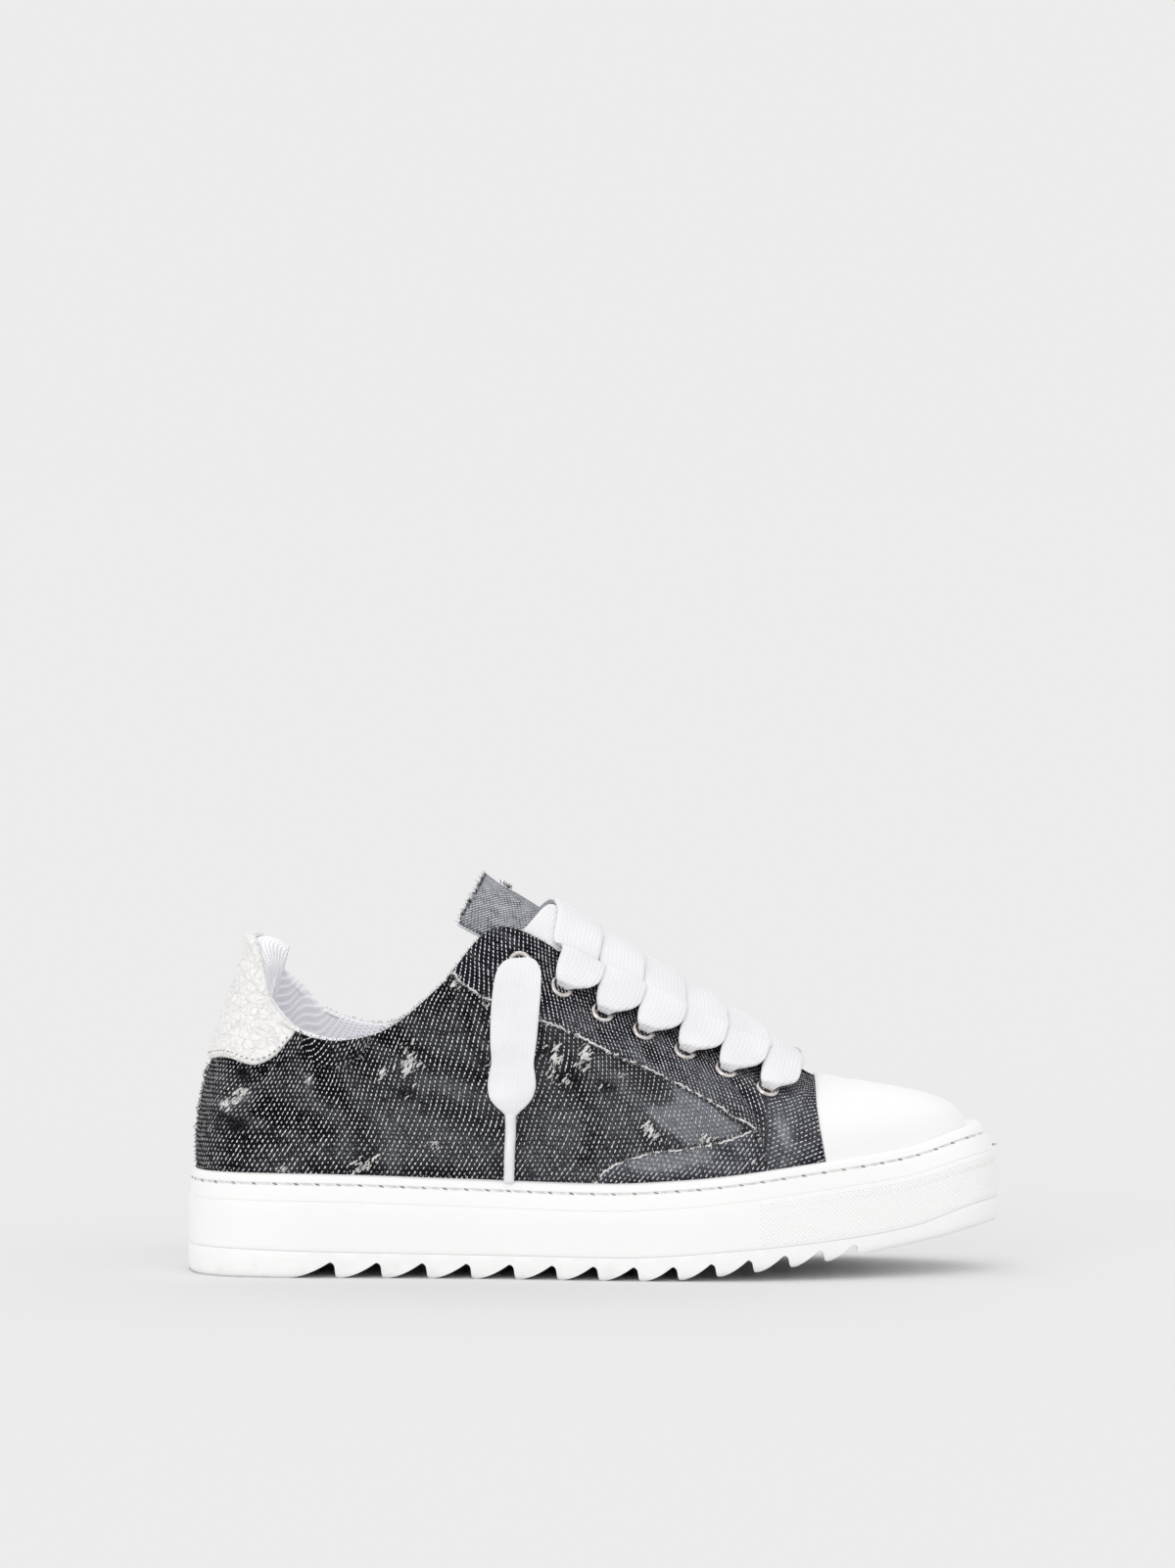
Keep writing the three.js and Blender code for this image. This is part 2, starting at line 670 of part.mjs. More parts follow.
function makeLaceCrossings() {
  const [lateral, medial] = eyeletSpots;
  const bands = [];
  for (let i = EYELETS_A_SIDE - 1; i > 0; i -= 1) {
    bands.push(crossing(medial[i], lateral[i - 1], 2.6), crossing(lateral[i], medial[i - 1], 4.4));
  }
  const joined = wasm.Manifold.union(bands.map(solidOf)).decompose();
  return geometryFrom(joined.sort((a, b) => b.volume() - a.volume())[0]);
}

// The free end hangs from the top lateral eyelet down the outside of the canvas.
const AGLET_LENGTH = 22;
const AGLET_RADIUS = 1.9;
const END_X = 113.6;
function outsideAt(x, z, away) {
  let place = 0.4;
  let share = 0.5;
  for (let i = 0; i < 40; i += 1) {
    const here = upperPoint(place, share);
    share = THREE.MathUtils.clamp(share + (z - here.z) / 110, 0, 1);
    place += (x - here.x) / 500;
  }
  return { point: canvas(place, share, away), out: upperNormal(place, share) };
}

function makeLaceEnd() {
  const heights = [103.5, 96, 84, 72, 63, 57.8];
  const widths = [11, 15.5, 16.5, 16, 12, 4.2];
  const rows = heights.map((z, i) => [-1, 1].map(
    (side) => outsideAt(END_X + (side * widths[i]) / 2, z, 2.6),
  ));
  return band(rows.reverse(), LACE_THICKNESS);
}

function makeAglet() {
  const top = outsideAt(END_X, 57, 3.6).point;
  const tip = outsideAt(END_X - 1, 57 - AGLET_LENGTH, 3).point;
  const tube = new THREE.CylinderGeometry(AGLET_RADIUS, AGLET_RADIUS, top.distanceTo(tip), 10);
  const turn = new THREE.Quaternion().setFromUnitVectors(
    new THREE.Vector3(0, 1, 0), top.clone().sub(tip).normalize(),
  );
  tube.applyQuaternion(turn);
  const middle = top.add(tip).multiplyScalar(0.5);
  return tube.translate(middle.x, middle.y, middle.z);
}

// Assembly ----------------------------------------------------------------------------------

const finish = (color, roughness, metalness = 0) => new THREE.MeshStandardMaterial({
  color, roughness, metalness,
});
const whiteRubber = finish(0xf4f4f2, 0.55);
const greyDenim = finish(0x3f434c, 0.95);
const whiteLeather = finish(0xf2f0ee, 0.6);
const whiteCotton = finish(0xf7f6fb, 0.95);
const footbed = finish(0xe9e8ec, 0.9);
const nickel = finish(0xb9aaa4, 0.3, 1);
const clearPlastic = finish(0xf0eef6, 0.35);

const shoe = new THREE.Group();
function add(name, geometry, material) {
  const mesh = new THREE.Mesh(geometry, material);
  mesh.name = name;
  shoe.add(mesh);
}

add('outsole', makeOutsole(), whiteRubber);
add('midsole', makeMidsole(), whiteRubber);
add('insole', makeInsole(), footbed);
add('upper', makeUpper(), greyDenim);
add('toe_cap', makeToeCap(), whiteLeather);
add('heel_tab', makeHeelTab(), whiteLeather);
add('tongue', makeTongue(), greyDenim);
add('lace_crossings', makeLaceCrossings(), whiteCotton);
add('lace_end', makeLaceEnd(), whiteCotton);
add('aglet', makeAglet(), clearPlastic);
eyeletSpots.forEach((row) => row.forEach((spot, i) => {
  add(`eyelet_${spot.side < 0 ? 'lateral' : 'medial'}_${i + 1}`, makeEyelet(spot), nickel);
}));

// The origin goes on the ground under the middle of the shoe without its hanging lace end.
const HANGING = ['lace_end', 'aglet'];
const box = new THREE.Box3();
shoe.children.filter((mesh) => !HANGING.includes(mesh.name))
  .forEach((mesh) => box.expandByObject(mesh));
const middle = box.getCenter(new THREE.Vector3());
shoe.position.set(-middle.x, -middle.y, -box.min.z);

export default shoe;
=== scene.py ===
"""A worn low canvas sneaker for the right foot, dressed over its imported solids."""

import logging
import math
from contextlib import contextmanager
from dataclasses import dataclass, field
from enum import Enum
from typing import Callable, Iterator, Sequence

import bmesh
import bpy
import numpy as np
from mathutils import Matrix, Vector, noise


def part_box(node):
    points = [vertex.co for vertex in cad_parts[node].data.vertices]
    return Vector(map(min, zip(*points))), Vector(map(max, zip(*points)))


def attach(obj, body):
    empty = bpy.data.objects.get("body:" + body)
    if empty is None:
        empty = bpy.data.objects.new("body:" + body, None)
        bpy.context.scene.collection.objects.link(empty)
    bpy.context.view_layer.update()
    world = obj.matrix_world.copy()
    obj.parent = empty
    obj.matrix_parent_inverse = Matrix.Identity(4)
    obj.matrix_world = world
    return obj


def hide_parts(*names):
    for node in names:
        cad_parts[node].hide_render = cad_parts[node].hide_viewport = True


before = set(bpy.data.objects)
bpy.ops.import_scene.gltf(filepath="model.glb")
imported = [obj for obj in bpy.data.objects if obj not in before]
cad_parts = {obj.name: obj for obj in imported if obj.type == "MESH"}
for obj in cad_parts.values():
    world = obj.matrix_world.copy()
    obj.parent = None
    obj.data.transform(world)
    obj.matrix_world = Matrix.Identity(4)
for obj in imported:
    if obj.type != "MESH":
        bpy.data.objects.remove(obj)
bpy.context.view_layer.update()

LOG = logging.getLogger("sneaker")
Curve = Callable[[np.ndarray], np.ndarray]
MM = 0.001
HALF_LENGTH = 141.0  # mm from the heel to the middle of the outsole
SEED = 11


# Curves and the form of the shoe -------------------------------------------------------------


def through(keys: Sequence[tuple[float, float]]) -> Curve:
    """A smooth function through pairs, with slopes that never overshoot.

    Args:
        keys: pairs of x and y, with x rising.

    Returns:
        The function, for one x or an array of them.
    """
    xs, ys = np.array(keys, float).T
    run = np.diff(xs)
    rise = np.diff(ys) / run
    slope = np.zeros(len(xs))
    before, after = rise[:-1], rise[1:]
    total = np.where(before + after == 0, 1, before + after)
    slope[1:-1] = np.where(before * after > 0, 2 * before * after / total, 0)

    def value(x: np.ndarray) -> np.ndarray:
        """The height at x."""
        x = np.asarray(x, float)
        i = np.clip(np.searchsorted(xs, x) - 1, 0, len(xs) - 2)
        t = np.clip((x - xs[i]) / run[i], 0, 1)
        ease = t * t * (3 - 2 * t)
        bend = (1 - t) * slope[i] - t * slope[i + 1]
        return ys[i] + (ys[i + 1] - ys[i]) * ease + run[i] * t * (1 - t) * bend

    return value


def spline(points: Sequence[Sequence[float]], closed: bool = False,
           centripetal: bool = False) -> Curve:
    """A Catmull-Rom curve.

    Args:
        points: what it passes through.
        closed: whether it ends where it begins.
        centripetal: whether its speed follows the spacing of the points.

    Returns:
        The curve, as a function of a number or array from 0 to 1.
    """
    knots = np.array(points, float)
    count = len(knots)
    if not closed:
        knots = np.vstack([2 * knots[0] - knots[1], knots, 2 * knots[-1] - knots[-2]])

    def value(t: np.ndarray) -> np.ndarray:
        """The point at t."""
        t = np.asarray(t, float)
        p = t * (count if closed else count - 1)
        i = np.floor(p).astype(int)
        if closed:
            w = (p - i)[..., None]
            x0, x1, x2, x3 = (knots[(i + k) % count] for k in (-1, 0, 1, 2))
        else:
            i = np.clip(i, 0, count - 2)
            w = (p - i)[..., None]
            x0, x1, x2, x3 = (knots[i + k] for k in range(4))
        if centripetal:
            gap = [np.sqrt(np.linalg.norm(b - a, axis=-1, keepdims=True)) for a, b in
                   ((x0, x1), (x1, x2), (x2, x3))]
            s1 = ((x1 - x0) / gap[0] - (x2 - x0) / (gap[0] + gap[1]) + (x2 - x1) / gap[1]) * gap[1]
            s2 = ((x2 - x1) / gap[1] - (x3 - x1) / (gap[1] + gap[2]) + (x3 - x2) / gap[2]) * gap[1]
        else:
            s1, s2 = (x2 - x0) / 2, (x3 - x1) / 2
        return (x1 + w * s1 + w * w * (3 * (x2 - x1) - 2 * s1 - s2)
                + w ** 3 * (2 * (x1 - x2) + s1 + s2))

    return value


def unit(v: np.ndarray) -> np.ndarray:
    """Vectors of length one."""
    return v / np.maximum(np.linalg.norm(v, axis=-1, keepdims=True), 1e-9)


def lengths(line: np.ndarray) -> np.ndarray:
    """The way gone along a line at each of its points."""
    return np.concatenate([[0], np.cumsum(np.linalg.norm(np.diff(line, axis=0), axis=1))])


def at_lengths(t: np.ndarray, gone: np.ndarray, table: np.ndarray) -> np.ndarray:
    """Rows of a table read off at distances along its line."""
    return np.stack([np.interp(t, gone, table[:, k]) for k in range(3)], 1)


def folded(place: np.ndarray) -> np.ndarray:
    """Places round the shoe laid onto the lateral side, from 0 to 1."""
    place = np.mod(place, 2)
    return np.where(place <= 1, place, 2 - place)


def mirrored(place: np.ndarray, medial: bool = True) -> np.ndarray:
    """Lateral places, or the same ones on the medial side."""
    return 2 - place if medial else place


def halve(low: np.ndarray | float, high: np.ndarray | float, under: Callable,
          steps: int) -> tuple[np.ndarray, np.ndarray]:
    """Closes two bounds in on where a test stops holding.

    Args:
        low: where it holds.
        high: where it doesn't.
        under: the test.
        steps: how many times the gap is halved.

    Returns:
        The closer bounds.
    """
    for _ in range(steps):
        middle = (low + high) / 2
        below = under(middle)
        low, high = np.where(below, middle, low), np.where(below, high, middle)
    return low, high


@dataclass
class Form:
    """The shape that all pieces follow, in millimetres from the heel, with the heel at x = 0.

    Places round the shoe run from 0 (heel) through 1 (toe) to 2 (heel again), lateral side first.
    """

    length: float = 282.0
    ball_width: float = 103.0
    heel_height: float = 115.2
    instep_height: float = 118.0
    sole_height: float = 36.0
    toe_spring: float = 17.0
    wall: float = 2.2
    outsole_layer: float = 9.0
    cup_depth: float = 8.0
    shift_y: float = 0.0

    def __post_init__(self) -> None:
        """Makes the curves from the sizes."""
        lateral = [(0.014, -0.2), (0.05, -0.3), (0.11, -0.345), (0.23, -0.36), (0.372, -0.388),
                   (0.496, -0.451), (0.631, -0.492), (0.727, -0.476), (0.823, -0.402),
                   (0.908, -0.296), (0.95, -0.228), (0.983, -0.13)]
        medial = [(0.014, 0.2), (0.05, 0.3), (0.11, 0.345), (0.22, 0.346), (0.348, 0.32),
                  (0.454, 0.345), (0.567, 0.427), (0.667, 0.497), (0.752, 0.503), (0.844, 0.45),
                  (0.922, 0.35), (0.962, 0.275), (0.989, 0.175)]
        self.sides = [self._side(lateral), self._side(medial)]
        top, low, end = self.sole_height, self.outsole_layer, self.length
        spring = self.toe_spring
        self.sole_top = through([
            (0, top), (45, top - 0.4), (100, top - 2), (145, top - 2.9), (175, top - 1.3),
            (215, top + 3.6), (250, top + 8.2), (end, top + 15)])
        self.sole_bottom = through([
            (0, 0), (160, 0), (182, 0.09 * spring), (207, 0.265 * spring),
            (233, 0.49 * spring), (261, 0.78 * spring), (end, spring)])
        self.seam_line = through([
            (0, low + 1.2), (50, low), (100, low - 0.7), (150, low - 1), (190, low + 1.5),
            (227, low + 5), (250, low + 8.4), (end, low + 16.5)])
        self.rim_inset = through([(0, 1.2), (60, 1.6), (200, 1.8), (end, 5.5)])
        self.upper_inset = through([(0, 2.8), (40, 4), (120, 4.8), (205, 5.2), (250, 9),
                                    (end, 12.8)])
        self.bulge = through([(0, 0.4), (0.3, 2), (0.6, 3), (0.8, 2), (1, 0.5)])
        self.climb = through([(0, 0.36), (0.5, 0.42), (0.7, 0.42), (0.85, 0.3), (1, 0.22)])
        self.reach = through([(0, 0.4), (0.3, 0.35), (0.7, 0.38), (1, 0.5)])
        self.collar_pad = through([(0, 11.5), (0.12, 10), (0.22, 6), (0.32, 2.5), (0.42, 0),
                                   (1, 0)])
        self.pad_share = through([(0, 0), (0.35, 0), (0.8, 1), (1, 1)])
        self._top_edge()
        stations = np.arange(60) / 30
        self.shift_y = self.plan(stations)[:, 1].min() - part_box("midsole")[0][1] / MM

    def _side(self, keys: list[tuple[float, float]]) -> tuple[np.ndarray, np.ndarray]:
        """One side of the plan as matching lists of x and y."""
        apex = 0.035
        first, last = keys[0], keys[-1]
        points = [(first[0], -first[1]), (0, 0), *keys, (1, apex), (last[0], 2 * apex - last[1])]
        scaled = [(x * self.length, y * self.ball_width) for x, y in points]
        spans = len(points) - 1
        t = np.linspace(1 / spans, (spans - 1) / spans, 24001)
        line = spline(scaled, centripetal=True)(t)
        return np.maximum.accumulate(line[:, 0]), line[:, 1]

    def _top_edge(self) -> None:
        """The collar and throat edge, and how far the canvas leans in below it."""
        half, heel, instep = self.ball_width / 2, self.heel_height, self.instep_height
        keys = [
            (21.5, 0, heel, 17), (23.2, 0.19, heel - 0.8, 16), (26.3, 0.31, heel - 8, 15),
            (30.2, 0.39, heel - 22.5, 12), (39.5, 0.475, heel - 31.2, 9),
            (54, 0.535, heel - 33.8, 7), (71, 0.565, heel - 29, 9), (89, 0.57, heel - 14, 15),
            (108.5, 0.545, instep + 2.4, 24), (137, 0.44, instep - 10.7, 30),
            (165, 0.38, instep - 25, 35), (190, 0.34, instep - 37.7, 38),
            (204.5, 0.28, instep - 45, 46), (211.5, 0.2, instep - 48.4, 60),
            (214.8, 0.125, instep - 50, 70), (216.2, 0.06, instep - 50.5, 76),
            (216.6, 0, instep - 50.6, 78)]
        rise = through([(0, 0), (22.5, 1), (26.3, 6), (30.2, 14), (39.5, 9.5), (54, 4.5),
                        (71, -1.8), (80, -4.5), (89, -5), (108, -3), (137, 0),
                        (self.length, 0)])
        ring = [(x, -y * half, z, lean) for x, y, z, lean in keys]
        ring += [(x, y * half, z + float(rise(x)), lean) for x, y, z, lean in keys[-2:0:-1]]
        self.top_ring = spline(ring, closed=True)

    def x_of(self, place: np.ndarray) -> np.ndarray:
        """The outsole's x at places round the shoe."""
        return self.length * (1 - np.cos(np.pi * place)) / 2

    def plan(self, place: np.ndarray) -> np.ndarray:
        """The outsole's edge at places round the shoe."""
        p = np.mod(place, 2)
        x = self.x_of(p)
        y = np.where(p <= 1, np.interp(x, *self.sides[0]), np.interp(x, *self.sides[1]))
        return np.stack([x, y], -1)

    def plan_normal(self, place: np.ndarray) -> np.ndarray:
        """The outward direction of the outsole's edge."""
        run = unit(self.plan(place + 0.012) - self.plan(place - 0.012))
        return np.stack([run[..., 1], -run[..., 0]], -1)

    def ring(self, place: np.ndarray, inset: np.ndarray | float, height: Curve) -> np.ndarray:
        """A ring inset from the plan, at heights given by x."""
        spot = self.plan(place) - self.plan_normal(place) * np.asarray(inset)[..., None]
        return np.concatenate([spot, height(spot[..., 0])[..., None]], -1)

    def surface(self, place: np.ndarray, share: np.ndarray) -> np.ndarray:
        """The canvas's outer face: place round the shoe, share of the way up from the rim."""
        place, share = np.broadcast_arrays(np.asarray(place, float), np.asarray(share, float))
        p, along = np.mod(place, 2), folded(place)
        edge, out = self.plan(p), self.plan_normal(p)
        foot2 = edge - out * self.upper_inset(edge[..., 0])[..., None]
        foot = np.concatenate([foot2, self.sole_top(foot2[..., 0])[..., None]], -1)
        top4 = self.top_ring(p / 2)
        top, lean = top4[..., :3], np.radians(top4[..., 3])
        chord = np.linalg.norm(foot - top, axis=-1)
        inward = unit((top - foot)[..., :2])
        inward = unit(inward * along[..., None] - out * (1 - along)[..., None])
        push, lift = self.bulge(along), chord * self.climb(along)
        first = foot + np.stack([out[..., 0] * push, out[..., 1] * push, lift], -1)
        pull = chord * self.reach(along)
        second = top - np.stack([inward[..., 0] * pull * np.sin(lean),
                                 inward[..., 1] * pull * np.sin(lean), pull * np.cos(lean)], -1)
        s = share[..., None]
        r = 1 - s
        return r ** 3 * foot + 3 * r * r * s * first + 3 * r * s * s * second + s ** 3 * top

    def normal(self, place: np.ndarray, share: np.ndarray) -> np.ndarray:
        """The outward direction of the canvas."""
        share = np.asarray(share, float)
        low, high = np.maximum(share - 0.02, 0), np.minimum(share + 0.02, 1)
        place = np.asarray(place, float)
        round_ = self.surface(place + 0.004, share) - self.surface(place - 0.004, share)
        rise = self.surface(place, high) - self.surface(place, low)
        return unit(np.cross(round_, rise))

    def skin(self, place: np.ndarray, share: np.ndarray) -> tuple[np.ndarray, np.ndarray]:
        """The canvas's outer face and its outward direction."""
        return self.surface(place, share), self.normal(place, share)

    def wall_at(self, place: np.ndarray, share: np.ndarray) -> np.ndarray:
        """The thickness of the wall with its padding."""
        return self.wall + self.collar_pad(folded(place)) * self.pad_share(share)

    def share_at(self, place: np.ndarray, height: Curve) -> np.ndarray:
        """How far up each place the canvas crosses a line drawn on its side view."""
        def under(share: np.ndarray) -> np.ndarray:
            """Whether the canvas is still below the line."""
            point = self.surface(place, share)
            return point[..., 2] < height(point[..., 0])

        low, high = halve(np.zeros_like(place), np.ones_like(place), under, 26)
        return (low + high) / 2

    def place_at(self, x: float, share: float = 0.0) -> float:
        """The lateral place whose canvas has the given x."""
        low, high = halve(0.0, 1.0, lambda place: self.surface(place, share)[0] < x, 30)
        return float((low + high) / 2)

    def below_edge(self, x: float, down: float, side: int) -> tuple[float, float]:
        """The place and share a given way below the throat edge, at a given x."""
        shares = np.arange(1, 0.02, -0.01)

        def share_under(place: float) -> float:
            """The share that far down at one place."""
            line = self.surface(np.full(len(shares), place), shares)
            return float(np.interp(down, lengths(line), shares))

        def under(middle: float) -> bool:
            """Whether the spot's x is still short of the given one."""
            place = mirrored(middle, side > 0)
            return self.surface(place, share_under(place))[0] < x

        place = float(mirrored(halve(0.4, 0.9, under, 22)[0], side > 0))
        return place, share_under(place)

    def row(self, points: np.ndarray) -> np.ndarray:
        """The same points in the row's frame, in metres."""
        return (np.asarray(points) - [HALF_LENGTH, self.shift_y, 0]) * MM


# Meshes ------------------------------------------------------------------------------------


def mesh_object(name: str, verts: np.ndarray, faces: list | np.ndarray,
                uvs: np.ndarray | None = None, smooth: bool = True) -> bpy.types.Object:
    """Makes an object from points in metres.

    Args:
        name: the piece's name.
        verts: its points.
        faces: lists of point numbers.
        uvs: one pair for each face corner, or None.
        smooth: whether it is shaded smooth.

    Returns:
        The new object.
    """
    mesh = bpy.data.meshes.new(name)
    mesh.from_pydata(np.asarray(verts).tolist(), [], np.asarray(faces).tolist()
                     if isinstance(faces, np.ndarray) else faces)
    if uvs is not None:
        layer = mesh.uv_layers.new(name="cloth")
        layer.data.foreach_set("uv", np.asarray(uvs, np.float32).ravel())
    mesh.polygons.foreach_set("use_smooth", [smooth] * len(mesh.polygons))
    mesh.update()
    made = bpy.data.objects.new(name, mesh)
    bpy.context.collection.objects.link(made)
    return made


def grid(name: str, points: np.ndarray, loop_rows: bool = False, loop_columns: bool = False,
         uv: np.ndarray | None = None) -> bpy.types.Object:
    """A mesh through a table of points, in metres.

    Args:
        name: the piece's name.
        points: rows by columns by three.
        loop_rows: whether the last row joins the first.
        loop_columns: whether the last column joins the first.
        uv: rows by columns by two, one more of each where it joins up, or None.

    Returns:
        The new object.
    """
    rows, columns = points.shape[:2]
    i, j = np.meshgrid(np.arange(rows if loop_rows else rows - 1),
                       np.arange(columns if loop_columns else columns - 1), indexing="ij")
    i, j = i.ravel(), j.ravel()
    corners = [(i, j), (i, j + 1), (i + 1, j + 1), (i + 1, j)]
    faces = np.stack([(a % rows) * columns + b % columns for a, b in corners], 1)
    uvs = None
    if uv is not None:
        uvs = np.stack([uv[a, b] for a, b in corners], 1).reshape(-1, 2)
    return mesh_object(name, points.reshape(-1, 3), faces, uvs)


@contextmanager
def opened(made: bpy.types.Object) -> Iterator[bmesh.types.BMesh]:
    """A piece's mesh open for changes, which are written back at the end."""
    work = bmesh.new()
    work.from_mesh(made.data)
    yield work
    work.to_mesh(made.data)
    work.free()


def outward(made: bpy.types.Object, merge: float = 0.0, cap: bool = False) -> bpy.types.Object:
    """Turns a piece's faces outwards, after merging its doubles or filling its open ends."""
    with opened(made) as work:
        if merge:
            bmesh.ops.remove_doubles(work, verts=work.verts, dist=merge)
        if cap:
            bmesh.ops.holes_fill(work, edges=work.edges)
        bmesh.ops.recalc_face_normals(work, faces=work.faces)
    return made


def slab(name: str, outer: np.ndarray, inner: np.ndarray, uv: np.ndarray | None = None,
         loop_columns: bool = False) -> bpy.types.Object:
    """A closed sheet between two tables of points, in metres."""
    rows = np.concatenate([outer, inner[::-1]], 0)
    if uv is not None:
        uv = np.concatenate([uv, uv[::-1], uv[:1]], 0)
    made = grid(name, rows, loop_rows=True, loop_columns=loop_columns, uv=uv)
    if not loop_columns:
        count, columns = rows.shape[:2]
        with opened(made) as work:
            work.verts.ensure_lookup_table()
            for j in (0, columns - 1):
                for i in range(len(outer) - 1):
                    ring = [i, i + 1, count - 2 - i, count - 1 - i]
                    corner = [work.verts[r * columns + j] for r in ring]
                    if len(set(corner)) == 4:
                        work.faces.new(corner).smooth = True
    return outward(made)


def joined(name: str, pieces: Sequence[bpy.types.Object]) -> bpy.types.Object:
    """Joins several objects into one and names it."""
    with bpy.context.temp_override(active_object=pieces[0],
                                   selected_editable_objects=list(pieces)):
        bpy.ops.object.join()
    pieces[0].name = name
    pieces[0].data.name = name
    return pieces[0]


def paint(made: bpy.types.Object, name: str, values: np.ndarray) -> None:
    """Stores one number for each point of a mesh."""
    layer = made.data.attributes.new(name, "FLOAT", "POINT")
    layer.data.foreach_set("value", np.asarray(values, np.float32).ravel())


def points_of(made: bpy.types.Object) -> np.ndarray:
    """A mesh's points, in metres."""
    flat = np.empty(len(made.data.vertices) * 3)
    made.data.vertices.foreach_get("co", flat)
    return flat.reshape(-1, 3)


def cloth_uv(points: np.ndarray, loop_columns: bool) -> np.ndarray:
    """Arc lengths across and up a table of points, in their own unit."""
    if loop_columns:
        points = np.concatenate([points, points[:, :1]], 1)
    across = lengths(points[len(points) // 3])
    rise = np.linalg.norm(np.diff(points, axis=0), axis=2)
    up = np.concatenate([np.zeros((1, points.shape[1])), np.cumsum(rise, axis=0)], 0)
    return np.stack([np.broadcast_to(across, up.shape), up], -1)


# Scattering --------------------------------------------------------------------------------


def scatter_tree(name: str) -> bpy.types.NodeTree:
    """A Geometry Nodes tree that puts one small mesh on every point.

    Each point gives the way the mesh faces (aim), the way it runs (along) and its size (grow).
    """
    tree = bpy.data.node_groups.new(name, "GeometryNodeTree")
    for socket, kind, way in (("Points", "Geometry", "INPUT"), ("Item", "Object", "INPUT"),
                              ("Size", "Float", "INPUT"), ("Size Spread", "Float", "INPUT"),
                              ("Seed", "Int", "INPUT"), ("Finish", "Material", "INPUT"),
                              ("Geometry", "Geometry", "OUTPUT")):
        tree.interface.new_socket(socket, in_out=way, socket_type="NodeSocket" + kind)
    node, link = tree.nodes.new, tree.links.new
    start, end = node("NodeGroupInput"), node("NodeGroupOutput")

    def stored(attribute: str, kind: str) -> bpy.types.NodeSocket:
        """The socket of a stored attribute."""
        reader = node("GeometryNodeInputNamedAttribute")
        reader.data_type = kind
        reader.inputs["Name"].default_value = attribute
        return reader.outputs["Attribute"]

    facing = node("FunctionNodeAlignRotationToVector")
    facing.axis = "Z"
    link(stored("aim", "FLOAT_VECTOR"), facing.inputs["Vector"])
    running = node("FunctionNodeAlignRotationToVector")
    running.axis = "X"
    running.pivot_axis = "Z"
    link(facing.outputs["Rotation"], running.inputs["Rotation"])
    link(stored("along", "FLOAT_VECTOR"), running.inputs["Vector"])

    chance = node("FunctionNodeRandomValue")
    chance.data_type = "FLOAT"
    less, more = node("ShaderNodeMath"), node("ShaderNodeMath")
    less.operation, more.operation = "SUBTRACT", "ADD"
    for part in (less, more):
        part.inputs[0].default_value = 1.0
        link(start.outputs["Size Spread"], part.inputs[1])
    floats = [s for s in chance.inputs if s.type == "VALUE"]
    link(less.outputs[0], floats[0])
    link(more.outputs[0], floats[1])
    link(start.outputs["Seed"], chance.inputs["Seed"])
    grow, size = node("ShaderNodeMath"), node("ShaderNodeMath")
    grow.operation = size.operation = "MULTIPLY"
    link(stored("grow", "FLOAT"), grow.inputs[0])
    link([s for s in chance.outputs if s.type == "VALUE"][0], grow.inputs[1])
    link(grow.outputs[0], size.inputs[0])
    link(start.outputs["Size"], size.inputs[1])

    info = node("GeometryNodeObjectInfo")
    link(start.outputs["Item"], info.inputs["Object"])
    put = node("GeometryNodeInstanceOnPoints")
    link(start.outputs["Points"], put.inputs["Points"])
    link(info.outputs["Geometry"], put.inputs["Instance"])
    link(running.outputs["Rotation"], put.inputs["Rotation"])
    link(size.outputs[0], put.inputs["Scale"])
    real, dress = node("GeometryNodeRealizeInstances"), node("GeometryNodeSetMaterial")
    link(put.outputs["Instances"], real.inputs[0])
    link(real.outputs[0], dress.inputs["Geometry"])
    link(start.outputs["Finish"], dress.inputs["Material"])
    link(dress.outputs["Geometry"], end.inputs["Geometry"])
    return tree


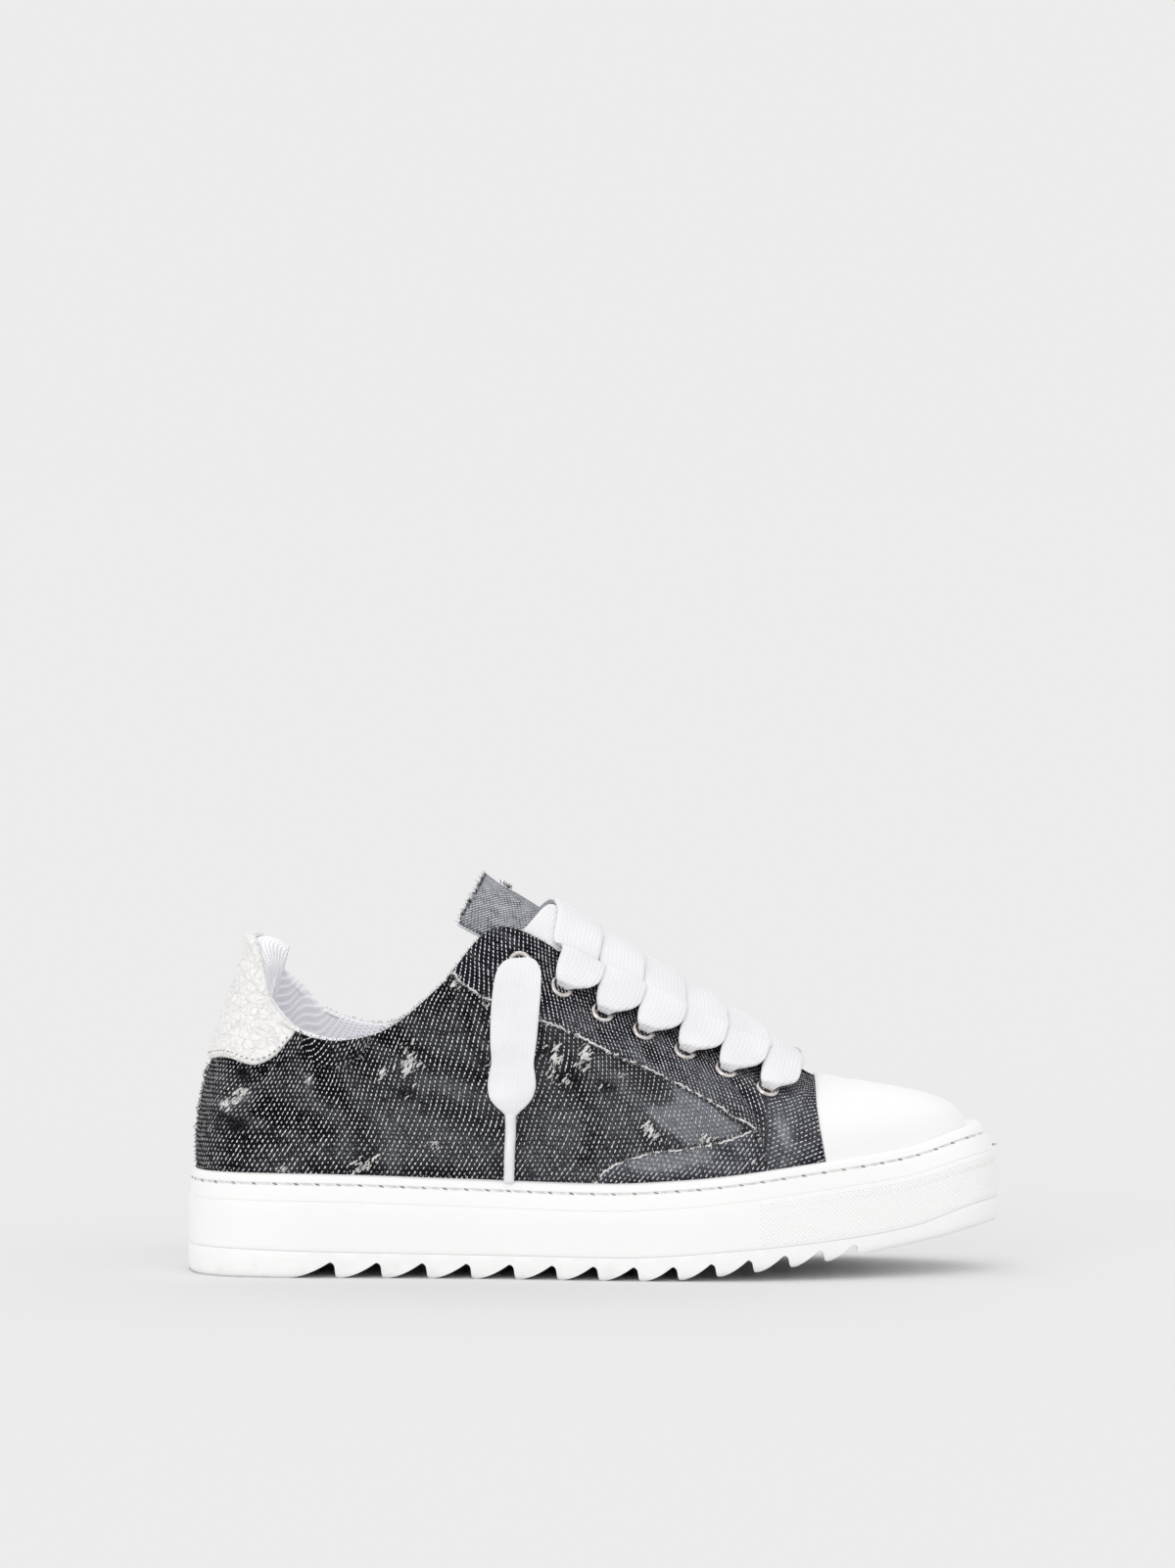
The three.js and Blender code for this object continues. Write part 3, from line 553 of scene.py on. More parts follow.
@dataclass
class Scatter:
    """Copies of one small mesh on many spots, joined into one plain mesh."""

    name: str
    finish: bpy.types.Material
    size: float = 1.0
    spread: float = 0.0
    seed: int = SEED
    spots: list[np.ndarray] = field(default_factory=list)

    def add(self, points: np.ndarray, aim: np.ndarray, along: np.ndarray,
            grow: np.ndarray | float = 1.0) -> None:
        """Adds spots, in metres, with the way each copy faces and runs."""
        points = np.atleast_2d(points)
        parts = [np.broadcast_to(np.atleast_2d(v), points.shape) for v in (aim, along)]
        scale = np.broadcast_to(np.atleast_1d(grow), (len(points),))[:, None]
        self.spots.append(np.concatenate([points, *parts, scale], 1))

    def make(self, item: bpy.types.Object) -> bpy.types.Object:
        """Puts the copies down.

        Args:
            item: the small mesh, in metres, which is removed afterwards.

        Returns:
            One plain mesh object.
        """
        table = np.concatenate(self.spots, 0)
        base = bpy.data.meshes.new(self.name)
        base.from_pydata(table[:, :3].tolist(), [], [])
        for key, part in (("aim", table[:, 3:6]), ("along", table[:, 6:9])):
            layer = base.attributes.new(key, "FLOAT_VECTOR", "POINT")
            layer.data.foreach_set("vector", part.astype(np.float32).ravel())
        layer = base.attributes.new("grow", "FLOAT", "POINT")
        layer.data.foreach_set("value", table[:, 9].astype(np.float32))
        holder = bpy.data.objects.new(self.name, base)
        bpy.context.collection.objects.link(holder)
        tree = scatter_tree(self.name + "_nodes")
        modifier = holder.modifiers.new("scatter", "NODES")
        modifier.node_group = tree
        values = {"Item": item, "Size": self.size, "Size Spread": self.spread,
                  "Seed": self.seed, "Finish": self.finish}
        for socket in tree.interface.items_tree:
            if socket.item_type == "SOCKET" and socket.in_out == "INPUT" \
                    and socket.name in values:
                modifier[socket.identifier] = values[socket.name]
        graph = bpy.context.evaluated_depsgraph_get()
        plain = bpy.data.meshes.new_from_object(holder.evaluated_get(graph))
        holder.modifiers.clear()
        holder.data = plain
        plain.name = self.name
        for key in ("aim", "along", "grow"):
            if key in plain.attributes:
                plain.attributes.remove(plain.attributes[key])
        bpy.data.objects.remove(item)
        return holder


def thread_mesh(length: float, radius: float, curl: float, sides: int = 3,
                steps: int = 5) -> bpy.types.Object:
    """A short curled thread that stands on its root and leans along X, in metres."""
    t = np.linspace(0, 1, steps)
    line = np.stack([length * np.sin(curl * t) / curl, 0.12 * length * np.sin(5 * t),
                     length * (1 - np.cos(curl * t)) / curl + 0.05 * length * t], -1)
    run = unit(np.gradient(line, axis=0))
    side = unit(np.cross(run, [0, 0, 1.0]) + [0, 1e-6, 0])
    up = np.cross(side, run)
    angle = np.arange(sides) * 2 * np.pi / sides
    thick = radius * (1 - 0.6 * t ** 3)
    rows = [line + thick[:, None] * (side * np.cos(a) + up * np.sin(a)) for a in angle]
    return outward(grid("thread", np.stack(rows, 1), loop_columns=True), cap=True)


# Finishes ----------------------------------------------------------------------------------


class Dye:
    """Adds nodes to one new material and links them to its shader."""

    def __init__(self, name: str, coords: str = "Object", unit_scale: float = 1000.0) -> None:
        """Starts a material.

        Args:
            name: its name.
            coords: the Texture Coordinate output it reads, Object or UV.
            unit_scale: 1000 makes the patterns' sizes millimetres.
        """
        self.material = bpy.data.materials.new(name)
        self.material.use_nodes = True
        self.tree = self.material.node_tree
        self.shader = self.tree.nodes["Principled BSDF"]
        source = self.node("ShaderNodeTexCoord").outputs[coords]
        self.where = self.moved(source, scale=(unit_scale,) * 3)

    def node(self, kind: str, **settings: object) -> bpy.types.Node:
        """Adds a node with its settings."""
        made = self.tree.nodes.new(kind)
        for key, value in settings.items():
            setattr(made, key, value)
        return made

    def feed(self, socket: bpy.types.NodeSocket, value: object) -> None:
        """Links a socket to another, or sets its value."""
        if isinstance(value, bpy.types.NodeSocket):
            self.tree.links.new(value, socket)
        elif value is not None:
            socket.default_value = value

    def moved(self, where: object, scale: Sequence[float] = (1, 1, 1),
              turn: float = 0.0) -> bpy.types.NodeSocket:
        """Coordinates scaled, and turned about Z by degrees."""
        made = self.node("ShaderNodeMapping")
        self.feed(made.inputs["Vector"], where)
        made.inputs["Scale"].default_value = scale
        made.inputs["Rotation"].default_value = (0, 0, math.radians(turn))
        return made.outputs["Vector"]

    def noise(self, size: float, detail: float = 2.0, rough: float = 0.5, warp: float = 0.0,
              where: object = None) -> bpy.types.NodeSocket:
        """Noise with features of a size in millimetres."""
        made = self.node("ShaderNodeTexNoise")
        self.feed(made.inputs["Vector"], where or self.where)
        made.inputs["Scale"].default_value = 1 / size
        made.inputs["Detail"].default_value = detail
        made.inputs["Roughness"].default_value = rough
        made.inputs["Distortion"].default_value = warp
        return made.outputs["Fac"]

    def cells(self, size: float, feature: str = "F1", spread: float = 1.0,
              where: object = None) -> bpy.types.NodeSocket:
        """The distance in a pattern of cells of a size in millimetres."""
        made = self.node("ShaderNodeTexVoronoi", feature=feature)
        self.feed(made.inputs["Vector"], where or self.where)
        made.inputs["Scale"].default_value = 1 / size
        made.inputs["Randomness"].default_value = spread
        return made.outputs["Distance"]

    def maths(self, kind: str, a: object, b: object = None, c: object = None,
              clamp: bool = False) -> bpy.types.NodeSocket:
        """One sum of two or three numbers."""
        made = self.node("ShaderNodeMath", operation=kind, use_clamp=clamp)
        for socket, value in zip(made.inputs, (a, b, c)):
            self.feed(socket, value)
        return made.outputs[0]

    def times(self, a: object, b: object) -> bpy.types.NodeSocket:
        """One number times another."""
        return self.maths("MULTIPLY", a, b)

    def scaled(self, value: object, by: object, plus: object) -> bpy.types.NodeSocket:
        """A number scaled and moved."""
        return self.maths("MULTIPLY_ADD", value, by, plus)

    def rest(self, value: object) -> bpy.types.NodeSocket:
        """What a share leaves of 1."""
        return self.maths("SUBTRACT", 1.0, value)

    def between(self, value: object, low: float, high: float) -> bpy.types.NodeSocket:
        """0 below low, 1 above high and smooth between."""
        made = self.node("ShaderNodeMapRange", interpolation_type="SMOOTHSTEP")
        self.feed(made.inputs["Value"], value)
        made.inputs["From Min"].default_value = low
        made.inputs["From Max"].default_value = high
        return made.outputs["Result"]

    def mix(self, share: object, a: object, b: object,
            blend: str = "MIX") -> bpy.types.NodeSocket:
        """A colour between two."""
        made = self.node("ShaderNodeMix", data_type="RGBA", blend_type=blend)
        self.feed(made.inputs["Factor"], share)
        for socket, value in zip([s for s in made.inputs if s.type == "RGBA"], (a, b)):
            self.feed(socket, (*value, 1) if isinstance(value, tuple) else value)
        return [s for s in made.outputs if s.type == "RGBA"][0]

    def tint(self, colour: object, mark: object, share: object,
             other: object) -> bpy.types.NodeSocket:
        """A colour moved a share of the way to another where a mark is 1."""
        return self.mix(self.times(mark, share), colour, other)

    def mark(self, name: str) -> bpy.types.NodeSocket:
        """A number stored on the mesh."""
        return self.node("ShaderNodeAttribute", attribute_name=name).outputs["Fac"]

    def parts(self, where: object = None) -> tuple[bpy.types.NodeSocket, ...]:
        """The coordinates one by one."""
        made = self.node("ShaderNodeSeparateXYZ")
        self.feed(made.inputs[0], where or self.where)
        return tuple(made.outputs)

    def cycle(self, along: object, pitch: float) -> bpy.types.NodeSocket:
        """A rise from -0.5 to 0.5 that starts again at each pitch in millimetres."""
        return self.maths("SUBTRACT", self.maths("FRACT", self.maths("DIVIDE", along, pitch)),
                          0.5)

    def waves(self, along: object, pitch: float) -> bpy.types.NodeSocket:
        """A cosine from 0 to 1 with a pitch in millimetres."""
        turn = self.times(along, 2 * math.pi / pitch)
        return self.scaled(self.maths("COSINE", turn), 0.5, 0.5)

    def done(self, colour: object, rough: object, bump: object = None, depth: float = 0.1,
             **fixed: object) -> bpy.types.Material:
        """Links the shader.

        Args:
            colour: base colour, a socket or a tuple.
            rough: roughness, a socket or a number.
            bump: the height pattern from 0 to 1, or None.
            depth: how deep the pattern is, in millimetres.
            fixed: shader sockets set to one value, with _ for each space in their names.

        Returns:
            The material.
        """
        self.feed(self.shader.inputs["Base Color"],
                  (*colour, 1) if isinstance(colour, tuple) else colour)
        self.feed(self.shader.inputs["Roughness"], rough)
        for key, value in fixed.items():
            self.shader.inputs[key.replace("_", " ")].default_value = value
        if bump is not None:
            made = self.node("ShaderNodeBump")
            made.inputs["Distance"].default_value = depth * MM
            self.feed(made.inputs["Height"], bump)
            self.feed(self.shader.inputs["Normal"], made.outputs["Normal"])
        return self.material


class Wash(Enum):
    """How far a denim piece is washed out."""

    BLACK = "black"
    SLATE = "slate"
    GREY = "grey"


@dataclass(frozen=True)
class Twill:
    """Denim in a steep twill: dark warp over pale weft, with painted shade in its rib valleys and
    over tear holes, in UVs of cloth metres.
    """

    name: str
    wash: Wash
    pitch: float = 1.45
    float_length: float = 1.9
    turn: float = 33.0

    def shades(self) -> tuple[tuple, tuple, tuple, float]:
        """The warp, the washed warp, the weft and how much weft shows."""
        return {
            Wash.BLACK: ((0.005, 0.005, 0.007), (0.075, 0.078, 0.086), (0.95, 0.95, 0.98), 0.0),
            Wash.SLATE: ((0.012, 0.012, 0.017), (0.14, 0.145, 0.166), (0.93, 0.93, 0.98), 0.02),
            Wash.GREY: ((0.05, 0.052, 0.064), (0.35, 0.36, 0.4), (0.95, 0.96, 1.0), 0.2),
        }[self.wash]

    def material(self) -> bpy.types.Material:
        """Makes the material."""
        dark, grey, weft, extra = self.shades()
        dye = Dye(self.name, "UV")
        wobble = dye.node("ShaderNodeTexNoise")
        dye.feed(wobble.inputs["Vector"], dye.where)
        wobble.inputs["Scale"].default_value = 0.06
        wobble.inputs["Detail"].default_value = 0.0
        shaken = dye.node("ShaderNodeVectorMath", operation="MULTIPLY_ADD")
        dye.feed(shaken.inputs[0], wobble.outputs["Color"])
        shaken.inputs[1].default_value = (1.5, 1.5, 0)
        dye.feed(shaken.inputs[2], dye.where)
        across, along, _ = dye.parts(dye.moved(shaken.outputs[0], turn=self.turn))
        rib = dye.waves(across, self.pitch)
        dash = dye.waves(dye.scaled(across, 0.62, along), self.float_length)
        wash = dye.mark("wash")
        broad = dye.noise(16, 4, 0.62, 0.4)
        grain = dye.noise(0.6, 2, 0.7)
        patch = dye.noise(3.0, 4, 0.65, 0.3)
        worn = dye.maths("ADD", dye.between(broad, 0.45, 0.72), dye.scaled(patch, 0.9, -0.5))
        washed = dye.maths("ADD", wash, dye.times(worn, 0.4), clamp=True)
        valley_weave_and_shade = dye.maths("POWER", rib, 1.6)
        speck = dye.times(valley_weave_and_shade, dye.scaled(dash, 0.35, 0.65))
        lit = dye.scaled(dye.maths("SUBTRACT", grain, 0.5), 0.9, speck)
        lit = dye.maths("ADD", dye.maths("SUBTRACT", patch, 0.5), lit)
        lit = dye.between(lit, 0.74 - extra, 0.9 - extra)
        soft = dye.scaled(washed, -0.35, 1.0)
        fuzz = dye.between(dye.noise(0.5, 3, 0.8, 1.0), 0.52, 0.66)
        pepper = dye.between(dye.noise(0.7, 3, 0.8, 0.6), 0.5, 0.68)
        colour = dye.tint(dark, washed, 0.9, grey)
        colour = dye.tint(colour, dye.between(wash, 0.72, 1.0), 0.55, (0.3, 0.31, 0.345))
        # Painted shade: the rib valleys are darkened towards near-black, more where the cloth is
        # less washed.
        colour = dye.tint(colour, valley_weave_and_shade, dye.times(soft, 0.7), (0.003, 0.003, 0.005))
        colour = dye.tint(colour, dye.times(fuzz, washed), 0.5, (0.5, 0.52, 0.57))
        colour = dye.tint(colour, pepper, 0.6, (0.005, 0.005, 0.007))
        colour = dye.tint(colour, lit, soft, weft)
        # Painted shade: near-black where a tear is worn through, standing for the dark inside of
        # the hole.
        colour = dye.mix(dye.mark("hole_shade"), colour, (0.006, 0.006, 0.008))
        colour = dye.mix(dye.mark("bare"), colour, (0.5, 0.5, 0.54))
        height = dye.scaled(rib, -0.7, dye.times(grain, 0.8))
        return dye.done(colour, 0.95, height, 0.25, Specular_IOR_Level=0.05)


@dataclass(frozen=True)
class Rubber:
    """Moulded white rubber with handling marks low on its wall."""

    name: str
    rough: float = 0.3

    def material(self) -> bpy.types.Material:
        """Makes the material."""
        dye = Dye(self.name)
        cloud = dye.noise(34, 3, 0.55)
        fine = dye.noise(0.5, 2, 0.6)
        _, _, height = dye.parts()
        low = dye.rest(dye.between(height, 0.5, 9.0))
        scuff = dye.between(dye.noise(1.6, 4, 0.72, 0.6,
                                      dye.moved(dye.where, (0.22, 0.22, 1.5))), 0.58, 0.74)
        dust = dye.times(low, dye.between(dye.noise(7, 4, 0.65), 0.4, 0.75))
        colour = dye.tint((0.95, 0.95, 0.945), cloud, 0.25, (0.92, 0.92, 0.915))
        colour = dye.tint(colour, dust, 0.3, (0.66, 0.64, 0.61))
        colour = dye.tint(colour, scuff, 0.05, (0.5, 0.49, 0.48))
        rough = dye.scaled(scuff, 0.2, dye.scaled(cloud, 0.2, self.rough))
        return dye.done(colour, rough, fine, 0.02, Specular_IOR_Level=0.4)


@dataclass(frozen=True)
class Leather:
    """White leather, smooth or tumbled, with creases and painted shade in the tumbled grain's
    crevices; the smooth kind gets painted shade along its marked edge, the tumbled kind a warm
    near-white there.
    """

    name: str
    tumbled: bool

    def material(self) -> bpy.types.Material:
        """Makes the material."""
        dye = Dye(self.name)
        cloud = dye.noise(20, 3, 0.5)
        edge = dye.mark("edge")
        if not self.tumbled:
            height = dye.scaled(dye.cells(0.7), 0.3, dye.noise(0.7, 3, 0.6))
            colour = dye.tint((0.95, 0.95, 0.95), cloud, 0.3, (0.9, 0.9, 0.9))
            # Painted shade: grey along the cap's marked rear edge, where the denim's edge meets it.
            colour = dye.tint(colour, edge, 0.3, (0.74, 0.73, 0.72))
            return dye.done(colour, 0.42, height, 0.03, Specular_IOR_Level=0.35)
        stretched = dye.moved(dye.where, (0.8, 0.8, 1.25))
        grain = dye.cells(2.7, "DISTANCE_TO_EDGE", 1.0, dye.moved(stretched, (1, 0.8, 0.8), 20))
        fold_and_shade = dye.between(grain, 0.0, 0.16)
        small = dye.between(dye.cells(0.9, "DISTANCE_TO_EDGE", 1.0, stretched), 0.0, 0.2)
        wrinkle = dye.between(dye.noise(4.5, 3, 0.6, 1.6), 0.4, 0.56)
        height = dye.scaled(wrinkle, 1.2, dye.scaled(small, 0.35, fold_and_shade))
        # Painted shade: the grain's crevices are darker and the pebbles between them paler.
        colour = dye.mix(fold_and_shade, (0.9, 0.887, 0.873), (0.96, 0.95, 0.94))
        colour = dye.tint(colour, cloud, 0.3, (0.92, 0.905, 0.89))
        colour = dye.tint(colour, edge, 0.35, (0.95, 0.94, 0.93))
        return dye.done(colour, 0.42, height, 0.2, Specular_IOR_Level=0.4)


@dataclass(frozen=True)
class AirMesh:
    """Knitted spacer mesh with rows of slanting holes and a faint painted glow, in UVs of cloth
    metres.
    """

    name: str = "air_mesh"
    pitch: float = 2.1
    row_height: float = 1.05

    def material(self) -> bpy.types.Material:
        """Makes the material."""
        dye = Dye(self.name, "UV")
        across, up, _ = dye.parts(dye.moved(dye.where, turn=-17))
        row = dye.maths("FLOOR", dye.maths("DIVIDE", up, self.row_height))
        x = dye.cycle(dye.scaled(row, 0.5 * self.pitch, across), self.pitch)
        y = dye.cycle(up, self.row_height)
        x = dye.scaled(y, 0.25, x)
        square = dye.maths("ADD", dye.maths("POWER", dye.times(x, 2.7), 2),
                           dye.maths("POWER", dye.times(y, 2.9), 2))
        knit = dye.between(square, 0.3, 0.95)
        fuzz = dye.noise(0.5, 2, 0.6)
        colour = dye.tint((0.99, 0.99, 1.0), fuzz, 0.3, (0.94, 0.94, 0.965))
        colour = dye.tint(colour, dye.rest(knit), 0.6, (0.42, 0.41, 0.52))
        height = dye.scaled(fuzz, 0.2, knit)
        # Painted light: a faint bluish-white emission that brightens the lining where it lies in
        # shade; the lining is no lamp.
        return dye.done(colour, 0.85, height, 0.2, Specular_IOR_Level=0.2, Sheen_Weight=0.3,
                        Emission_Color=(0.93, 0.93, 1.0, 1.0), Emission_Strength=0.14)


@dataclass(frozen=True)
class Cotton:
    """Thick white lace: plaited ribs along it in UVs of metres, soft, slightly soiled and with
    painted shade in the pits of its weave.
    """

    name: str = "cotton_lace"
    rib: float = 1.5
    stitch: float = 1.15

    def material(self) -> bpy.types.Material:
        """Makes the material."""
        dye = Dye(self.name, "UV")
        across, along, _ = dye.parts()
        lean = dye.times(dye.maths("ABSOLUTE", dye.cycle(across, self.rib)), self.rib)
        knit = dye.waves(dye.scaled(lean, 0.9, along), self.stitch)
        rib = dye.waves(across, self.rib)
        fuzz = dye.noise(0.55, 3, 0.7)
        broad = dye.noise(9, 3, 0.6)
        height = dye.scaled(fuzz, 0.5, dye.times(dye.scaled(knit, 0.6, 0.4), rib))
        pit_shade = dye.rest(dye.between(height, 0.15, 0.62))
        colour = dye.tint((0.94, 0.935, 0.955), broad, 0.3, (0.87, 0.86, 0.895))
        # Painted shade: the low pits of the weave are darkened.
        colour = dye.tint(colour, pit_shade, 0.22, (0.66, 0.64, 0.72))
        colour = dye.tint(colour, dye.mark("soil"), 0.5, (0.62, 0.59, 0.62))
        return dye.done(colour, 0.92, height, 0.2, Specular_IOR_Level=0.1, Sheen_Weight=0.1)


@dataclass(frozen=True)
class Metal:
    """Worn nickel plate with fine rubbed scratches."""

    name: str = "nickel"

    def material(self) -> bpy.types.Material:
        """Makes the material."""
        dye = Dye(self.name)
        patch = dye.noise(1.4, 3, 0.6)
        scratch = dye.noise(0.25, 2, 0.7, 0.3, dye.moved(dye.where, (0.3, 1, 1.6)))
        colour = dye.mix(dye.between(patch, 0.4, 0.7), (0.74, 0.7, 0.68), (0.5, 0.44, 0.42))
        rough = dye.scaled(patch, 0.25, 0.14)
        return dye.done(colour, rough, scratch, 0.02, Metallic=1.0)


@dataclass(frozen=True)
class Yarn:
    """Loose cotton threads of one colour."""

    name: str
    pale: tuple[float, float, float]
    dull: tuple[float, float, float]

    def material(self) -> bpy.types.Material:
        """Makes the material."""
        dye = Dye(self.name)
        twist = dye.noise(0.5, 2, 0.6)
        colour = dye.mix(dye.between(dye.noise(2.4, 3, 0.6), 0.35, 0.65), self.pale, self.dull)
        return dye.done(colour, 0.9, twist, 0.08, Specular_IOR_Level=0.15)


@dataclass(frozen=True)
class Film:
    """The white plastic film that binds the lace's end."""

    name: str = "aglet_film"

    def material(self) -> bpy.types.Material:
        """Makes the material."""
        dye = Dye(self.name)
        thread = dye.noise(0.8, 2, 0.5, 0.2, dye.moved(dye.where, (1.6, 1.6, 0.2)))
        colour = dye.mix(thread, (0.93, 0.92, 0.95), (0.82, 0.81, 0.86))
        return dye.done(colour, 0.3, thread, 0.08, Specular_IOR_Level=0.5, Coat_Weight=0.3,
                        Coat_Roughness=0.2)


@dataclass(frozen=True)
class Footbed:
    """The worn cloth cover of the insole, in rows of fine knit, greyed under the foot."""

    name: str = "footbed_cloth"

    def material(self) -> bpy.types.Material:
        """Makes the material."""
        dye = Dye(self.name)
        x, y, _ = dye.parts()
        knit = dye.times(dye.waves(x, 1.4), dye.waves(y, 1.1))
        tread = dye.times(dye.mark("tread"), dye.between(dye.noise(12, 4, 0.6), 0.3, 0.7))
        colour = dye.tint((0.83, 0.83, 0.86), knit, 0.25, (0.68, 0.68, 0.72))
        colour = dye.tint(colour, tread, 0.55, (0.42, 0.4, 0.38))
        return dye.done(colour, 0.9, knit, 0.2, Specular_IOR_Level=0.15, Sheen_Weight=0.1)


# The studio --------------------------------------------------------------------------------


@dataclass(frozen=True)
class Sun:
    """A broad sun: the way towards it, its strength and its width in degrees."""

    toward: tuple[float, float, float]
    strength: float
    angle: float


@dataclass
class Studio:
    """A pale floor that runs out to a world of its own grey, three broad suns and the camera."""

    grey: float = 0.838
    down_angle: float = 2.1
    distance: float = 3.022
    across: float = -0.00194
    front_plane: float = -0.015
    ground_below_middle: float = 0.1694
    focal_length: float = 200
    floor_radius: float = 60
    suns: tuple[Sun, ...] = (Sun((-0.5, -1.0, 0.3), 0.55, 40), Sun((0.35, -0.6, 1.5), 0.36, 60),
                             Sun((-0.3, 1.0, 1.4), 0.2, 60))

    def camera(self) -> bpy.types.Object:
        """Makes the camera, level with the shoe's outer side."""
        lens = bpy.data.cameras.new("camera")
        lens.lens, lens.sensor_fit, lens.sensor_height = self.focal_length, "VERTICAL", 36
        lens.clip_end = 100
        made = bpy.data.objects.new("camera", lens)
        bpy.context.collection.objects.link(made)
        tilt = math.radians(self.down_angle)
        low = self.ground_below_middle
        made.location = (
            self.across,
            self.front_plane - self.distance * math.cos(tilt) + low * math.sin(tilt),
            self.distance * math.sin(tilt) + low * math.cos(tilt))
        made.rotation_euler = (math.pi / 2 - tilt, 0, 0)
        bpy.context.scene.camera = made
        return made

    def light(self) -> float:
        """Makes the world and the suns.

        Returns:
            The light on the floor, as the radiance of a white sheet.
        """
        bpy.context.scene.view_settings.view_transform = "Standard"
        world = bpy.data.worlds.new("studio")
        bpy.context.scene.world = world
        world.use_nodes = True
        back = world.node_tree.nodes["Background"]
        back.inputs["Color"].default_value = (self.grey, self.grey, self.grey, 1)
        on_floor = self.grey
        for i, sun in enumerate(self.suns):
            lamp = bpy.data.lights.new(f"sun_{i}", "SUN")
            lamp.energy, lamp.angle = sun.strength, math.radians(sun.angle)
            made = bpy.data.objects.new(f"sun_{i}", lamp)
            bpy.context.collection.objects.link(made)
            toward = Vector(sun.toward).normalized()
            made.rotation_euler = toward.to_track_quat("Z", "Y").to_euler()
            on_floor += sun.strength * toward.z / math.pi
        return on_floor

    def floor(self, on_floor: float) -> bpy.types.Object:
        """Makes the floor, in the grey that matches the world."""
        work = bmesh.new()
        bmesh.ops.create_circle(work, cap_ends=True, segments=96, radius=self.floor_radius)
        mesh = bpy.data.meshes.new("floor")
        work.to_mesh(mesh)
        work.free()
        made = bpy.data.objects.new("floor", mesh)
        bpy.context.collection.objects.link(made)
        shade = self.grey / on_floor
        paper = bpy.data.materials.new("floor_paper")
        paper.use_nodes = True
        shader = paper.node_tree.nodes["Principled BSDF"]
        shader.inputs["Base Color"].default_value = (shade, shade, shade, 1)
        shader.inputs["Roughness"].default_value = 1.0
        shader.inputs["Specular IOR Level"].default_value = 0.0
        mesh.materials.append(paper)
        return made


# Fitting pieces to the row ------------------------------------------------------------------


def fit(made: bpy.types.Object, nodes: Sequence[str] = (),
        finish: bpy.types.Material | None = None) -> bpy.types.Object:
    """Rides a piece on the shoe, what it stands for and its finish."""
    if finish is not None:
        made.data.materials.clear()
        made.data.materials.append(finish)
    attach(made, "root")
    if nodes:
        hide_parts(*nodes)
    LOG.info("%s: %d faces", made.name, len(made.data.polygons))
    return made


def stations(form: Form, xs: np.ndarray) -> np.ndarray:
    """Places round the shoe at given x, up the lateral side and back down the medial one."""
    side = np.arccos(np.clip(1 - 2 * np.sort(xs) / form.length, -1, 1)) / math.pi
    return np.concatenate([side, 2 - side[-2:0:-1]])


def shaded(made: bpy.types.Object, degrees: float = 38) -> bpy.types.Object:
    """Keeps edges sharper than an angle crisp."""
    made.data.set_sharp_from_angle(angle=math.radians(degrees))
    return made


# The sole ----------------------------------------------------------------------------------


